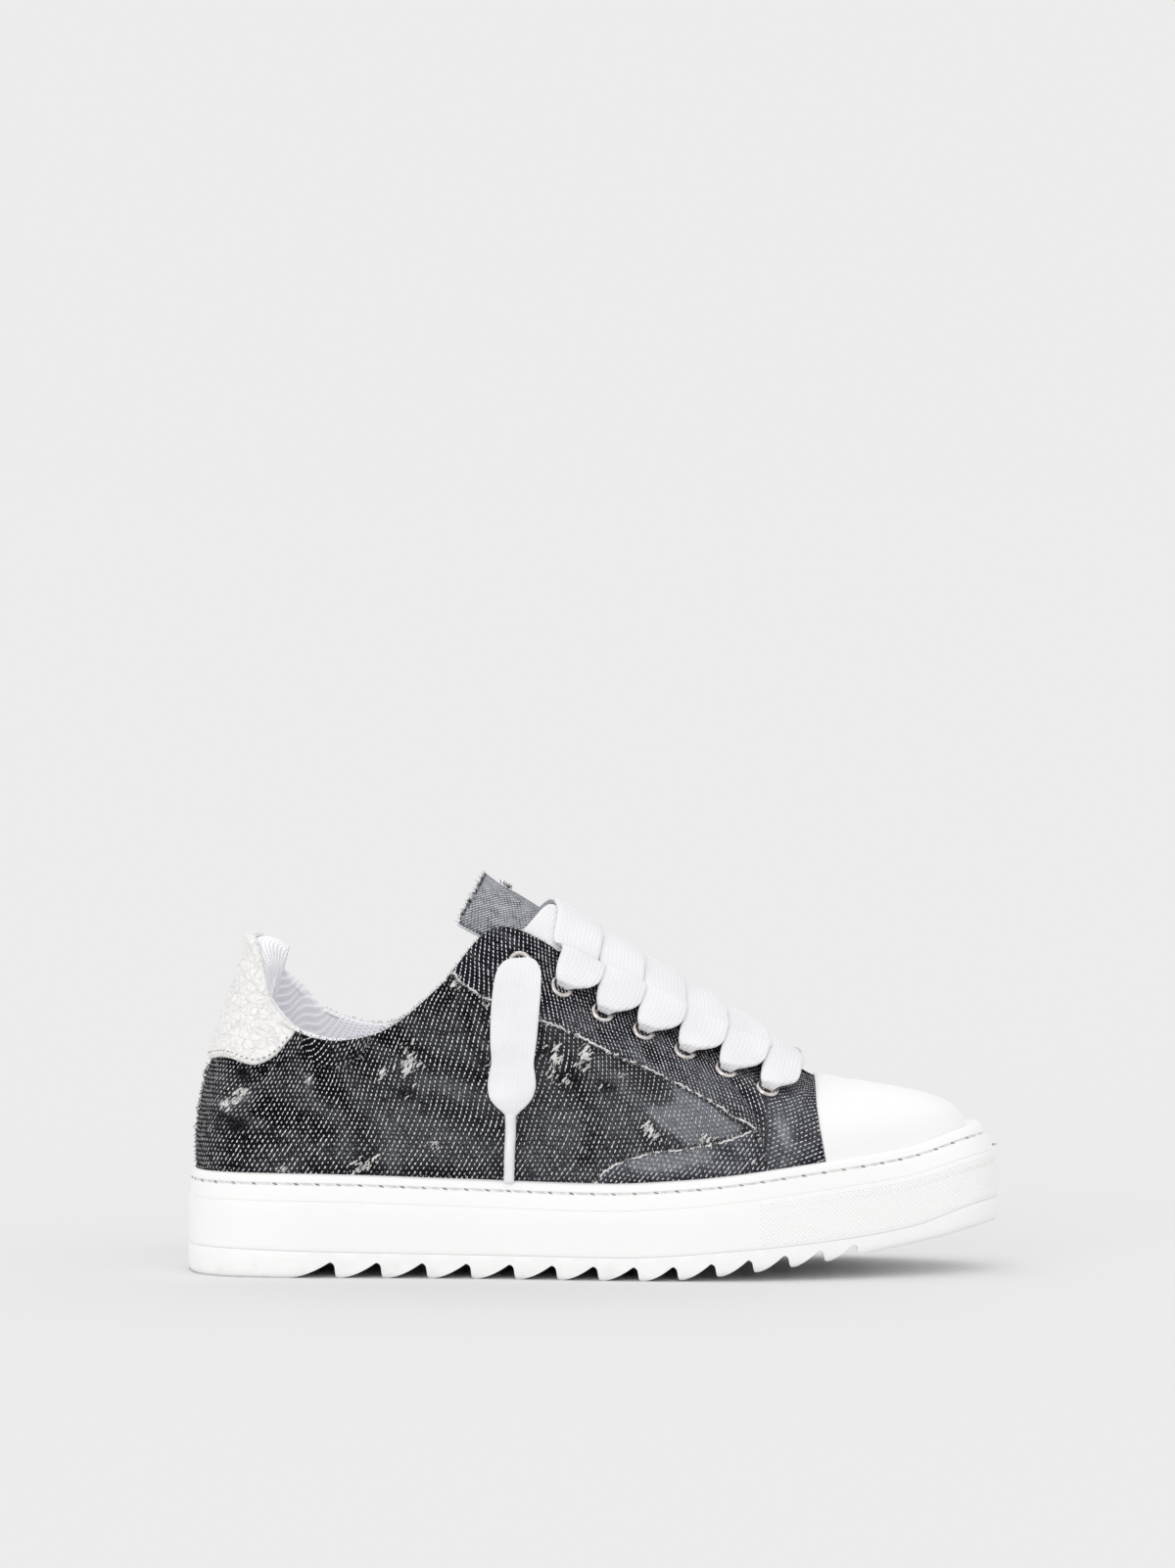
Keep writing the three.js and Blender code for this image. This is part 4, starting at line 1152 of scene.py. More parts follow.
@dataclass
class Sole:
    """Tread layer with saw-tooth lugs, cup wall with its stitched rim and knurled toe, footbed."""

    form: Form
    first_tip: float = 53.0
    lugs: int = 14
    first_pitch: float = 16.0
    pitch_drop: float = 0.36
    lug_depths: tuple[float, float] = (5.5, 4.3)
    groove_down: float = 3.4
    line_down: float = 9.3
    stitch_pitch: float = 7.35
    stitches_to: float = 0.99  # how squarely the wall may face ahead where a stitch lies
    holes_to: float = 0.84
    knurl_from: float = 198.0
    knurl_pitch: float = 1.75
    knurl_level: float = 14.0
    knurl_rows: int = 40
    gap: float = 0.08

    def __post_init__(self) -> None:
        """Draws the saw-tooth edge."""
        keys, tip, start = [(0.0, 0.0)], self.first_tip, 37.0
        for i in range(self.lugs):
            deep = np.interp(i, (0, self.lugs - 1), self.lug_depths)
            peak = tip - 2.8
            for t in (0, 0.15, 0.3, 0.45, 0.6, 0.75, 0.88, 1):
                keys.append((start + t * (peak - start), 2.4 * t * (1 - t) + t * t * deep))
            keys += [(peak + 0.9, deep - 0.25), (peak + 1.5, deep - 0.95),
                     (tip - 1.15, deep - 1.5), (tip - 0.75, 0.9), (tip - 0.45, 0.28),
                     (tip + 0.1, 0.0)]
            start = tip + 1.6
            tip += self.first_pitch - self.pitch_drop * i
        keys.append((self.form.length, 0.0))
        self.saw = np.array(keys)

    def notch(self, x: np.ndarray) -> np.ndarray:
        """How far the underside is cut up at x."""
        return np.interp(x, self.saw[:, 0], self.saw[:, 1])

    def spine(self, place: np.ndarray, height: Curve) -> np.ndarray:
        """The line along the middle of the sole, for each place."""
        spot = self.form.plan(place)
        other = self.form.plan(2 - place)
        middle = (spot[:, 1] + other[:, 1]) / 2
        return np.stack([spot[:, 0], middle, height(spot[:, 0])], 1)

    def outsole(self) -> bpy.types.Object:
        """Makes the tread layer."""
        form = self.form
        even = form.x_of(np.linspace(0, 1, 191))
        place = stations(form, np.unique(np.round(np.concatenate([even, self.saw[:, 0]]), 3)))
        edge, out = form.plan(place), form.plan_normal(place)
        tame = np.clip(np.minimum(edge[:, 0] - 20, 262 - edge[:, 0]) / 16, 0, 1)
        out = np.stack([out[:, 0] * (1 - tame), out[:, 1]], 1)
        spine = self.spine(place, form.seam_line)
        seam = form.seam_line(edge[:, 0]) - self.gap / 2

        def floor_at(x: np.ndarray) -> np.ndarray:
            """The underside with its lugs."""
            return form.sole_bottom(x) + self.notch(x)

        rows = [np.column_stack([spine[:, :2], seam]), np.column_stack([edge - out * 0.15, seam])]
        corner = through([(0, 1.6), (0.6, 0.7), (1.6, 0.15), (3, 0), (40, 0)])
        for t in (0.03, 0.3, 0.55, 0.75, 0.87, 0.94, 0.98, 1):
            low = floor_at(edge[:, 0])
            high = seam + (low - seam) * t
            inset = corner(np.maximum(high - form.sole_bottom(edge[:, 0]), 0))
            spot = edge - out * inset[:, None]
            if t == 1:
                high = floor_at(spot[:, 0])
            rows.append(np.column_stack([spot, high]))
        last = rows[-1]
        for t in (0.12, 0.3, 0.5, 0.75, 1.0):
            spot = last[:, :2] * (1 - t) + spine[:, :2] * t
            rows.append(np.column_stack([spot, floor_at(spot[:, 0])]))
        made = grid("tread", form.row(np.array(rows)), loop_columns=True)
        return shaded(outward(made, 2e-5), 34)

    def wall(self, place: np.ndarray, down: np.ndarray | float) -> np.ndarray:
        """The cup's outer wall, a given way down from its rim."""
        form = self.form
        edge, out = form.plan(place), form.plan_normal(place)
        x = edge[..., 0]
        rim = form.rim_inset(x)
        tall = form.sole_top(x) - form.seam_line(x) - self.gap / 2
        d = np.broadcast_to(down, x.shape)
        inset = np.where(d < 3, rim * (1.05 - 0.1 * d), 0.75 * rim * np.clip(
            1 - (d - 3) / np.maximum(0.55 * tall - 3, 1), 0, 1) ** 1.4)
        inset = inset + 0.8 * np.clip(1 - d / 1.1, 0, 1) ** 2
        for middle, half, deep in ((self.groove_down, 0.42, 0.6), (self.line_down, 0.22, 0.35)):
            inset = inset + deep * np.clip(1.6 - np.abs(d - middle) / half, 0, 1)
        inset = inset + 0.18 * np.clip(1 - (tall - d) / 0.45, 0, 1)
        spot = edge - out * inset[..., None]
        return np.concatenate([spot, (form.sole_top(x) - d)[..., None]], -1)

    def midsole(self) -> bpy.types.Object:
        """Makes the cup."""
        form = self.form
        place = stations(form, form.x_of(np.linspace(0, 1, 221)))
        x = form.plan(place)[:, 0]
        tall = form.sole_top(x) - form.seam_line(x) - self.gap / 2
        lip = form.upper_inset(x) - 0.3
        rows = [self.spine(place, lambda q: form.seam_line(q) + self.gap / 2)]
        rows += [self.wall(place, tall - t) for t in (0, 0.2, 0.45, 1.5)]
        rows += [self.wall(place, 10.2 + (tall - 11.7) * t) for t in (0.8, 0.55, 0.3, 0.12)]
        downs = [self.line_down + d for d in (0.6, 0.34, 0.13, -0.13, -0.34, -0.6)]
        downs += [7.2, 5.2]
        downs += [self.groove_down + d for d in (0.9, 0.66, 0.25, -0.25, -0.66, -0.9)]
        downs += [1.6, 1.1, 0.6, 0.25, 0.0]
        rows += [self.wall(place, d) for d in downs]
        rows += [form.ring(place, lip, lambda q, rise=rise: form.sole_top(q) + rise)
                 for rise in (0.15, -0.6, -form.cup_depth)]
        rows.append(self.spine(place, lambda q: form.sole_top(q) - form.cup_depth))
        made = grid("cup_sole", form.row(np.array(rows)), loop_columns=True)
        return shaded(outward(made, 2e-5), 40)

    def ruler(self, down: float, first: float, last: float) -> tuple[np.ndarray, np.ndarray]:
        """The way gone round the wall at one level, and the places where it is read."""
        fine = np.linspace(first, last, 4001)
        return lengths(self.wall(fine, down)), fine

    def frames(self, place: np.ndarray, down: float) -> tuple[np.ndarray, ...]:
        """Points on the wall in metres, with their outward and forward ways."""
        spot = self.wall(place, down)
        run = unit(self.wall(place + 0.002, down) - self.wall(place - 0.002, down))
        out = self.form.plan_normal(place)
        out = unit(np.column_stack([out, np.zeros(len(out))]))
        return self.form.row(spot), out, run

    def stitches(self) -> list[bpy.types.Object]:
        """Makes the rim's lock stitches, and dark grey pills between them: painted shade standing
        for the needle holes.
        """
        ruler = self.ruler(self.groove_down, 0.0, 2.0)
        along = np.arange(self.stitch_pitch / 2, ruler[0][-1], self.stitch_pitch)
        spot, out, run = self.frames(np.interp(along, *ruler), self.groove_down)
        lies = out[:, 0] < self.stitches_to
        spot, out, run = spot[lies], out[lies], run[lies]
        thread = Scatter("rim_stitches", Yarn("rim_thread", (0.86, 0.86, 0.85),
                                             (0.66, 0.66, 0.66)).material())
        tilt = unit(run + np.array([0, 0, -0.07]))
        thread.add(spot + out * 0.02 * MM, out, tilt)
        # Painted shade: dark grey pills laid on the wall where the needle holes are.
        hole_shades = Scatter("rim_needle_holes", Yarn("rim_hole_shade", (0.2, 0.2, 0.2),
                                                (0.4, 0.39, 0.38)).material())
        side = run * (self.stitch_pitch / 2) * MM
        flat = out[:, 0] < self.holes_to
        hole_shades.add((spot + side + out * 0.1 * MM)[flat], out[flat],
                  unit(run + np.array([0, 0, -0.25]))[flat])
        return [thread.make(pill(4.6 * MM, 0.4 * MM, 0.22 * MM)),
                hole_shades.make(pill(2.0 * MM, 0.26 * MM, 0.14 * MM))]

    def knurl(self, finish: bpy.types.Material) -> bpy.types.Object:
        """Makes the band of small diamonds round the toe."""
        form = self.form
        pyramids = Scatter("toe_knurl", finish)
        first = form.place_at(self.knurl_from)
        half = self.knurl_pitch / 2
        ruler = self.ruler(self.knurl_level, first, mirrored(first))
        for i in range(self.knurl_rows):
            down = self.line_down + 1.5 + i * half * 0.92
            place = np.interp(np.arange(half * (i % 2), ruler[0][-1], self.knurl_pitch), *ruler)
            x = form.plan(place)[:, 0]
            tall = form.sole_top(x) - form.seam_line(x)
            place = place[down < tall - 1.3]
            if len(place):
                spot, out, run = self.frames(place, down)
                pyramids.add(spot - out * 0.03 * MM, out, run)
        return pyramids.make(pyramid(self.knurl_pitch * 0.94 * MM, self.knurl_pitch * 0.86 * MM,
                                     0.3 * MM))

    def insole(self) -> bpy.types.Object:
        """Makes the footbed, dished at the heel and pressed by a foot."""
        form = self.form
        place = stations(form, form.x_of(np.linspace(0, 1, 121)))
        edge, out = form.plan(place), form.plan_normal(place)
        inset = form.upper_inset(edge[:, 0]) + form.wall + 0.35
        spine = self.spine(place, form.sole_top)
        base = -form.cup_depth + 0.35
        rows, marks = [], []
        for extra, rise in ((0, base), (0, base + 3), (0.6, base + 3.7), (2, base + 4)):
            spot = edge - out * (inset + extra)[:, None]
            rows.append(np.column_stack([spot, form.sole_top(spot[:, 0]) + rise]))
            marks.append(np.zeros(len(place)))
        last = rows[-1]
        for t in (0.12, 0.25, 0.4, 0.55, 0.7, 0.85, 1.0):
            spot = last[:, :2] * (1 - t) + spine[:, :2] * t
            heel = np.exp(-((spot[:, 0] - 42) / 26) ** 2)
            ball = np.exp(-((spot[:, 0] - 195) / 34) ** 2)
            dish = 1.1 * (heel + 0.7 * ball) * (1 - (1 - t) ** 2)
            rows.append(np.column_stack([spot, form.sole_top(spot[:, 0]) + base + 4 - dish]))
            marks.append(np.clip((heel + ball) * (0.3 + t), 0, 1))
        rows.insert(0, self.spine(place, lambda q: form.sole_top(q) + base))
        marks.insert(0, np.zeros(len(place)))
        made = grid("footbed", form.row(np.array(rows)), loop_columns=True)
        paint(made, "tread", np.array(marks))
        return shaded(outward(made, 2e-5), 50)

    def build(self) -> None:
        """Builds the sole."""
        rubber = Rubber("white_rubber").material()
        fit(self.outsole(), ["outsole"], rubber)
        fit(self.midsole(), ["midsole"], rubber)
        fit(self.knurl(rubber))
        for piece in self.stitches():
            fit(piece)
        fit(self.insole(), ["insole"], Footbed().material())


def pill(length: float, half_width: float, height: float) -> bpy.types.Object:
    """A rounded stitch along X that rises along Z, in metres."""
    rows = []
    for t in np.linspace(0, 1, 5):
        swell = math.sin(math.pi * (0.08 + 0.84 * t))
        angle = np.arange(6) * math.pi / 3
        rows.append(np.column_stack([
            np.full(6, (t - 0.5) * length), half_width * swell * np.cos(angle),
            height * swell * np.sin(angle)]))
    return outward(grid("pill", np.array(rows), loop_columns=True), cap=True)


def pyramid(width: float, height: float, rise: float) -> bpy.types.Object:
    """A low diamond with its tip cut off, in metres."""
    low = np.array([(width / 2, 0, 0), (0, height / 2, 0), (-width / 2, 0, 0),
                    (0, -height / 2, 0)])
    high = low * 0.28 + [0, 0, rise]
    verts = np.concatenate([low, high])
    faces = [[i, (i + 1) % 4, 4 + (i + 1) % 4, 4 + i] for i in range(4)]
    return mesh_object("pyramid", verts, [*faces, [4, 5, 6, 7], [3, 2, 1, 0]], smooth=False)


# Denim -------------------------------------------------------------------------------------


def ripple(points: np.ndarray, size: float, seed: float) -> np.ndarray:
    """Smooth noise from -1 to 1 at points in millimetres."""
    flat = np.asarray(points).reshape(-1, 3) / size + [seed, 2 * seed, -seed]
    value = np.array([noise.noise(Vector(p)) for p in flat])
    return value.reshape(np.asarray(points).shape[:-1])


def near_line(x: np.ndarray, z: np.ndarray, line: Sequence[tuple[float, float]]) -> np.ndarray:
    """How far points of the side view are from a line drawn on it."""
    best = np.full(x.shape, 1e9)
    for (x0, z0), (x1, z1) in zip(line[:-1], line[1:]):
        dx, dz = x1 - x0, z1 - z0
        t = np.clip(((x - x0) * dx + (z - z0) * dz) / (dx * dx + dz * dz), 0, 1)
        best = np.minimum(best, np.hypot(x - x0 - t * dx, z - z0 - t * dz))
    return best


@dataclass(frozen=True)
class Crease:
    """A soft trough across the canvas, in millimetres of the side view."""

    line: tuple[tuple[float, float], ...]
    width: float
    depth: float

    def drop(self, x: np.ndarray, z: np.ndarray) -> np.ndarray:
        """How far it presses the canvas in, with a ridge along both of its sides."""
        t = near_line(x, z, self.line) / self.width
        return -self.depth * (np.exp(-t * t) - 0.4 * np.exp(-((t - 1.7) ** 2) * 1.5))


@dataclass(frozen=True)
class Tear:
    """A place where the denim is worn through: its spot and size, its threads and its hole."""

    x: float
    z: float
    wide: float
    tall: float
    white: int
    black: int
    hole: float = 0.0
    bare: float = 0.0
    length: float = 1.0

    def near(self, x: np.ndarray, z: np.ndarray) -> np.ndarray:
        """1 in its middle, 0 well outside it."""
        return np.exp(-((x - self.x) / self.wide) ** 2 - ((z - self.z) / self.tall) ** 2)


CREASES = (
    Crease(((43, 82), (50, 66), (62, 50), (66, 40)), 4.5, 0.9),
    Crease(((70, 84), (84, 74), (101, 69), (112, 70)), 4.0, 1.0),
    Crease(((96, 92), (100, 80), (106, 74)), 2.2, 0.9),
    Crease(((120, 84), (134, 70), (141, 54), (139, 42)), 4.5, 0.9),
    Crease(((18, 62), (34, 56), (50, 50)), 4.0, 0.7),
    Crease(((150, 74), (166, 62), (180, 52), (186, 44)), 4.0, 0.8),
    Crease(((160, 78), (176, 66), (190, 57)), 2.6, 0.5),
    Crease(((86, 60), (104, 52), (122, 50)), 5.0, 0.8),
    Crease(((196, 74), (206, 64), (212, 50)), 3.4, 0.6),
)
WASHES = (
    (72, 57, 24, 14, 0.35), (92, 47, 22, 9, 0.4), (104, 66, 16, 16, 0.25), (66, 43, 16, 5, 0.35),
    (122, 46, 14, 9, 0.4), (146, 58, 18, 13, 0.42), (173, 58, 13, 9, 1.2), (160, 40, 12, 4, 0.9),
    (176, 42, 16, 6, 0.7),
    (186, 51, 10, 5, 0.8), (31, 40, 12, 5, 0.35), (9, 52, 5, 15, 0.35), (152, 70, 9, 7, 0.5),
    (126, 72, 10, 14, 0.3), (88, 84, 12, 9, 0.3), (208, 54, 7, 16, 0.9), (134, 36, 16, 5, 0.5),
)
TEARS = (
    Tear(19.6, 62.5, 3.0, 2.6, 32, 6, 0.5, 0.3, 1.1), Tear(14.4, 59.2, 2.4, 1.8, 22, 0, 0, 0.4),
    Tear(20.4, 69.5, 2.8, 2.2, 0, 34, 0.9), Tear(18.4, 52.3, 3.6, 2.6, 0, 60, 1.0),
    Tear(12.6, 55.0, 2.5, 2.5, 0, 22, 0.6), Tear(43.0, 67.0, 1.2, 2.4, 14, 4, 0.3, 0.3, 0.7),
    Tear(77.2, 73.2, 3.6, 3.6, 46, 26, 0.9, 0.1, 1.1), Tear(68.7, 70.4, 1.4, 1.4, 10, 0, 0, 0.2),
    Tear(76.6, 63.2, 3.6, 2.8, 4, 46, 0.9), Tear(76.6, 79.6, 3.6, 1.4, 6, 18, 0.6),
    Tear(61.3, 39.6, 4.2, 4.4, 30, 30, 0.85, 0.0, 1.0),
    Tear(127.4, 76.6, 2.9, 6.6, 52, 36, 0.9, 0.1, 1.1),
    Tear(137.8, 76.2, 2.8, 5.0, 44, 26, 0.85, 0.1, 1.0), Tear(131.6, 69.0, 4.5, 2.6, 6, 44, 0.8),
    Tear(150.6, 70.4, 2.4, 1.0, 12, 2, 0.2, 0.2, 0.6), Tear(146.0, 66.5, 3.4, 2.4, 2, 26, 0.7),
    Tear(159.8, 52.6, 2.0, 2.4, 30, 12, 1.0, 0, 0.9), Tear(161.8, 49.2, 2.2, 1.8, 16, 8, 0.5),
    Tear(180.0, 48.6, 2.6, 0.9, 16, 0, 0.1, 0.3, 0.8),
    Tear(86.0, 46.0, 2.2, 1.4, 14, 3, 0.2, 0.1, 0.6),
    Tear(34.0, 37.4, 3.4, 1.0, 16, 2, 0, 0.2, 0.6), Tear(94.0, 101.4, 2.0, 1.6, 14, 8, 0.2, 0, 1.2),
    Tear(103.6, 95.6, 1.4, 2.2, 12, 8, 0.3, 0.1, 1.0), Tear(105.0, 74.5, 3.2, 1.6, 8, 26, 0.6),
    Tear(203.6, 46.0, 1.0, 2.2, 12, 0, 0, 0.1, 0.6), Tear(206.2, 41.0, 1.0, 0.9, 9, 0, 0, 0.2, 0.6),
    Tear(196.0, 40.5, 1.2, 0.8, 8, 0, 0, 0.1, 0.5), Tear(57.5, 75.6, 5.0, 0.8, 6, 30, 0.8),
)
FACING_EDGE = (
    (91.5, 106.0), (96.6, 101.4), (105.1, 96.2), (123.1, 89.2), (134.6, 84.3), (143.5, 79.6),
    (155.8, 74.2), (173.1, 65.8), (181.7, 61.4), (190.4, 55.8), (196.5, 52.2), (199.0, 47.8),
    (199.8, 43.0), (200.4, 36.0), (201.5, 12.0), (290.0, 6.0))
WING_EDGE = (
    (140.0, 32.0), (144.8, 36.9), (149.3, 39.9), (156.1, 42.3), (162.8, 44.0), (167.3, 44.5),
    (178.5, 45.9), (190.4, 49.1), (196.5, 51.6), (202.0, 53.0))
FLAP_EDGE = (
    (40.0, 79.0), (45.0, 73.6), (50.3, 72.2), (55.4, 73.4), (58.9, 75.0), (62.8, 78.5),
    (64.6, 83.4), (66.0, 90.0))


@dataclass
class Denim:
    """The canvas shell and the raw-edged panels, tears and loose threads on it."""

    form: Form
    thickness: float = 1.2
    hidden: float = 5.0  # how far the canvas reaches down inside the cup
    vamp_from: float = 200.5
    white: Scatter = field(init=False)
    black: Scatter = field(init=False)
    fuzz: Scatter = field(init=False)
    yarns: list[bpy.types.Object] = field(default_factory=list)

    def __post_init__(self) -> None:
        """Readies the threads."""
        pale = Yarn("pale_yarn", (0.9, 0.89, 0.88), (0.6, 0.585, 0.575)).material()
        dark = Yarn("black_yarn", (0.012, 0.012, 0.016), (0.06, 0.062, 0.075)).material()
        grey = Yarn("grey_fuzz", (0.3, 0.31, 0.34), (0.12, 0.125, 0.145)).material()
        self.pale = pale
        self.white = Scatter("white_threads", pale, spread=0.45, seed=SEED)
        self.black = Scatter("black_threads", dark, spread=0.4, seed=SEED + 1)
        self.fuzz = Scatter("washed_fuzz", grey, spread=0.5, seed=SEED + 2)
        self.random = np.random.default_rng(SEED)

    def relief(self, point: np.ndarray, share: np.ndarray) -> np.ndarray:
        """How far worn canvas stands off its clean form at surface points."""
        x, z = point[..., 0], point[..., 2]
        shift = np.where(point[..., 1] > 0, 7.0, 0.0)
        total = sum(c.drop(x + shift, z) for c in CREASES)
        total = total + 0.45 * ripple(point, 26, 3.0) + 0.28 * ripple(point, 9, 8.0)
        total = total + 0.1 * ripple(point, 3.4, 5.0)
        lateral = point[..., 1] < 0
        for tear in TEARS:
            total = total - np.where(lateral, 0.8 * tear.hole * tear.near(x, z), 0)
        hold = np.clip(share / 0.12, 0, 1) * np.clip((1 - share) / 0.08, 0, 1)
        hold = hold * np.clip((222 - x) / 12, 0, 1)
        return np.clip(total, -1.1, 0.9) * hold

    def dress(self, made: bpy.types.Object, extra: float = 0.0) -> None:
        """Stores where the cloth is washed or worn bare, and the painted shade over the tears'
        holes.
        """
        point = points_of(made) / MM + [HALF_LENGTH, self.form.shift_y, 0]
        x, z = point[:, 0], point[:, 2]
        lateral = point[:, 1] < 0
        shift = np.where(lateral, 0.0, 11.0)
        wash = sum(amount * np.exp(-((x + shift - u) / ru) ** 2 - ((z - v) / rv) ** 2)
                   for u, v, ru, rv, amount in WASHES)
        for crease in CREASES:
            t = near_line(x + shift, z, crease.line) / crease.width
            wash = wash + 0.22 * np.exp(-((t - 1.5) ** 2) * 2) - 0.2 * np.exp(-t * t)
        # Painted shade over the tears' holes, as a mark from 0 to 1.
        hole_shade = sum(t.hole * t.near(x, z) for t in TEARS)
        bare = sum(t.bare * t.near(x, z) for t in TEARS)
        paint(made, "wash", np.clip(wash + extra, 0, 1))
        paint(made, "hole_shade", np.where(lateral, np.clip(hole_shade, 0, 0.95), 0))
        paint(made, "bare", np.where(lateral, np.clip(bare, 0, 0.6), 0))

    def panel(self, name: str, place: np.ndarray, share: np.ndarray, outer: np.ndarray | float,
              inner: np.ndarray | float, turn: np.ndarray | float = 0.0) -> bpy.types.Object:
        """A layer of cloth on the canvas.

        Args:
            name: the piece's name.
            place: places round the shoe, rows by columns.
            share: how far up, rows by columns.
            outer: its outer face's distance from the worn canvas.
            inner: its inner face's distance.
            turn: how far its weave is turned, in degrees.

        Returns:
            The piece, with its marks.
        """
        form = self.form
        base, out = form.skin(place, share)
        worn = self.relief(base, share)
        top, low = (form.row(base + out * (worn + off)[..., None]) for off in (outer, inner))
        across, up = np.moveaxis(cloth_uv(base, False), -1, 0)
        angle = np.radians(turn)
        uv = np.stack([across * np.cos(angle) - up * np.sin(angle),
                       across * np.sin(angle) + up * np.cos(angle)], -1)
        made = slab(name, top, low, uv * MM)
        self.dress(made)
        return made

    def shell(self) -> bpy.types.Object:
        """Makes the canvas, from inside the cup to its raw top edge."""
        form = self.form
        place = np.linspace(0, 2, 461)[:-1]
        share = np.concatenate([np.linspace(0, 0.92, 50), np.linspace(0.94, 1, 6)])
        places, shares = np.meshgrid(place, share)
        base, out = form.skin(places, shares)
        worn = self.relief(base, shares)
        outer = base + out * worn[..., None]
        inner = base + out * np.minimum(worn - 0.3, -self.thickness)[..., None]
        outer, inner = (np.concatenate([face[:1] - [0, 0, self.hidden], face])
                        for face in (outer, inner))
        uv = cloth_uv(outer, True)
        uv = np.concatenate([uv, uv[::-1], uv[:1]], 0)
        rows = np.concatenate([outer, inner[::-1]], 0)
        made = grid("denim_shell", form.row(rows), loop_rows=True, loop_columns=True, uv=uv * MM)
        outward(made)
        self.dress(made)
        return made

    def along_edge(self, keys: Sequence[tuple[float, float]], first: float, last: float,
                   count: int) -> tuple[np.ndarray, np.ndarray]:
        """Places between two x, and the shares at which a line of the side view crosses them."""
        place = np.linspace(self.form.place_at(first), self.form.place_at(last), count)
        return place, self.form.share_at(place, through(keys))

    def facing(self) -> bpy.types.Object:
        """Makes the eyelet facing and vamp, in one piece round the throat."""
        form = self.form
        top, ball, toe = (form.place_at(*at) for at in ((90.5, 1.0), (192, 0.2), (203, 0.3)))
        side = np.concatenate([np.linspace(top, ball, 110)[:-1],
                               np.linspace(ball, toe, 50)[:-1], np.linspace(toe, 1, 60)])
        place = np.concatenate([side, mirrored(side[-2::-1])])
        low = np.minimum(form.share_at(place, through(FACING_EDGE)), 0.999)
        self.facing_side, self.facing_low = side, low[:len(side)]
        t = np.linspace(0, 1, 30)[:, None]
        places = np.broadcast_to(place, (len(t), len(place)))
        shares = low + (1 - low) * t
        x = form.surface(places, shares)[..., 0]
        hidden = np.clip((x - 213) / 4, 0, 1)
        lip = np.clip(t / 0.03, 0, 1) ** 0.5 * np.clip((1 - t) / 0.02 + 0.4, 0, 1)
        outer = (0.45 + 0.55 * lip) * (1 - hidden) + 0.25 * hidden
        turn = np.where(x > self.vamp_from, 46.0, -16.0)
        return self.panel("facing", places, shares, outer, 0.08, turn)

    def wing(self, name: str, medial: bool) -> bpy.types.Object:
        """Makes one low panel beside the ball of the foot."""
        place, high = self.along_edge(WING_EDGE, 140.4, 201.5, 90)
        if medial:
            place = mirrored(place)
            high = self.form.share_at(place, through(WING_EDGE))
        t = np.linspace(0, 1, 18)[:, None]
        places = np.broadcast_to(place, (len(t), len(place)))
        shares = np.maximum(high, 0.004) * t
        outer = 0.2 + 0.4 * np.clip((1 - t) / 0.06, 0, 1) ** 0.5
        return self.panel(name, places, shares, outer, 0.06, 12.0)

    def flap(self) -> bpy.types.Object:
        """Makes the torn double layer that hangs below the collar."""
        form = self.form
        place = np.linspace(form.place_at(40.5, 0.9), form.place_at(65.0, 0.9), 50)
        low = form.share_at(place, through(FLAP_EDGE))
        t = np.linspace(0, 1, 14)[:, None]
        places = np.broadcast_to(place, (len(t), len(place)))
        shares = low + (1 - low) * t
        x = form.surface(places, shares)[..., 0]
        grow = np.clip((x - 41) / 12, 0, 1) * (1 - 0.4 * t)
        curl = 0.6 * np.exp(-((t - 0.05) / 0.1) ** 2) * grow
        return self.panel("collar_flap", places, shares, 0.35 + 0.9 * grow + curl,
                          0.1 + 0.5 * grow + curl, 8.0)

    def spots(self, x: np.ndarray, z: np.ndarray, medial: bool = False) -> tuple:
        """Finds the canvas at points of the side view.

        Returns:
            Points, outward and forward ways, all in millimetres of the form.
        """
        form = self.form
        place, share = np.full(x.shape, 0.45), np.full(x.shape, 0.5)
        for _ in range(60):
            here = form.surface(mirrored(place, medial), share)
            share = np.clip(share + (z - here[..., 2]) / 110, 0, 1)
            place = np.clip(place + (x - here[..., 0]) / 500, 0.004, 0.996)
        base, out = form.skin(mirrored(place, medial), share)
        point = base + out * self.relief(base, share)[..., None]
        return point, out, unit(np.cross([0, 0, 1.0], out))

    def scatter_on(self, group: Scatter, x: np.ndarray, z: np.ndarray, off: float,
                   grow: np.ndarray | float, slope: tuple[float, float] = (0, 180),
                   medial: bool = False) -> None:
        """Lays threads on the canvas at points of the side view, within a range of slopes."""
        point, out, ahead = self.spots(x, z, medial)
        up = np.cross(out, ahead)
        lean = np.radians(self.random.uniform(*slope, len(x)))
        sign = np.where(self.random.random(len(x)) < 0.5, 1, -1)
        along = (ahead * np.cos(lean)[:, None] + up * np.sin(lean)[:, None]) * sign[:, None]
        group.add(self.form.row(point + out * off), out, along, grow)

    def tears(self) -> None:
        """Lays the threads of the tears, and the same on the hidden side in other places."""
        for medial in (False, True):
            shift = -14 if medial else 0
            for tear in TEARS:
                for group, count, off, slope in (
                        (self.white, tear.white, 0.5, (40, 85)),
                        (self.black, tear.black, 0.35, (0, 180))):
                    count = count // 2 if medial else count
                    if not count:
                        continue
                    x = tear.x + shift + self.random.normal(0, tear.wide * 0.46, count)
                    z = tear.z + self.random.normal(0, tear.tall * 0.46, count)
                    ok = (x > 3) & (x < 214) & ((z < 88) | (not medial))
                    self.scatter_on(group, x[ok], np.maximum(z[ok], 37), off,
                                    tear.length * self.random.uniform(0.7, 1.3, ok.sum()),
                                    slope, medial)

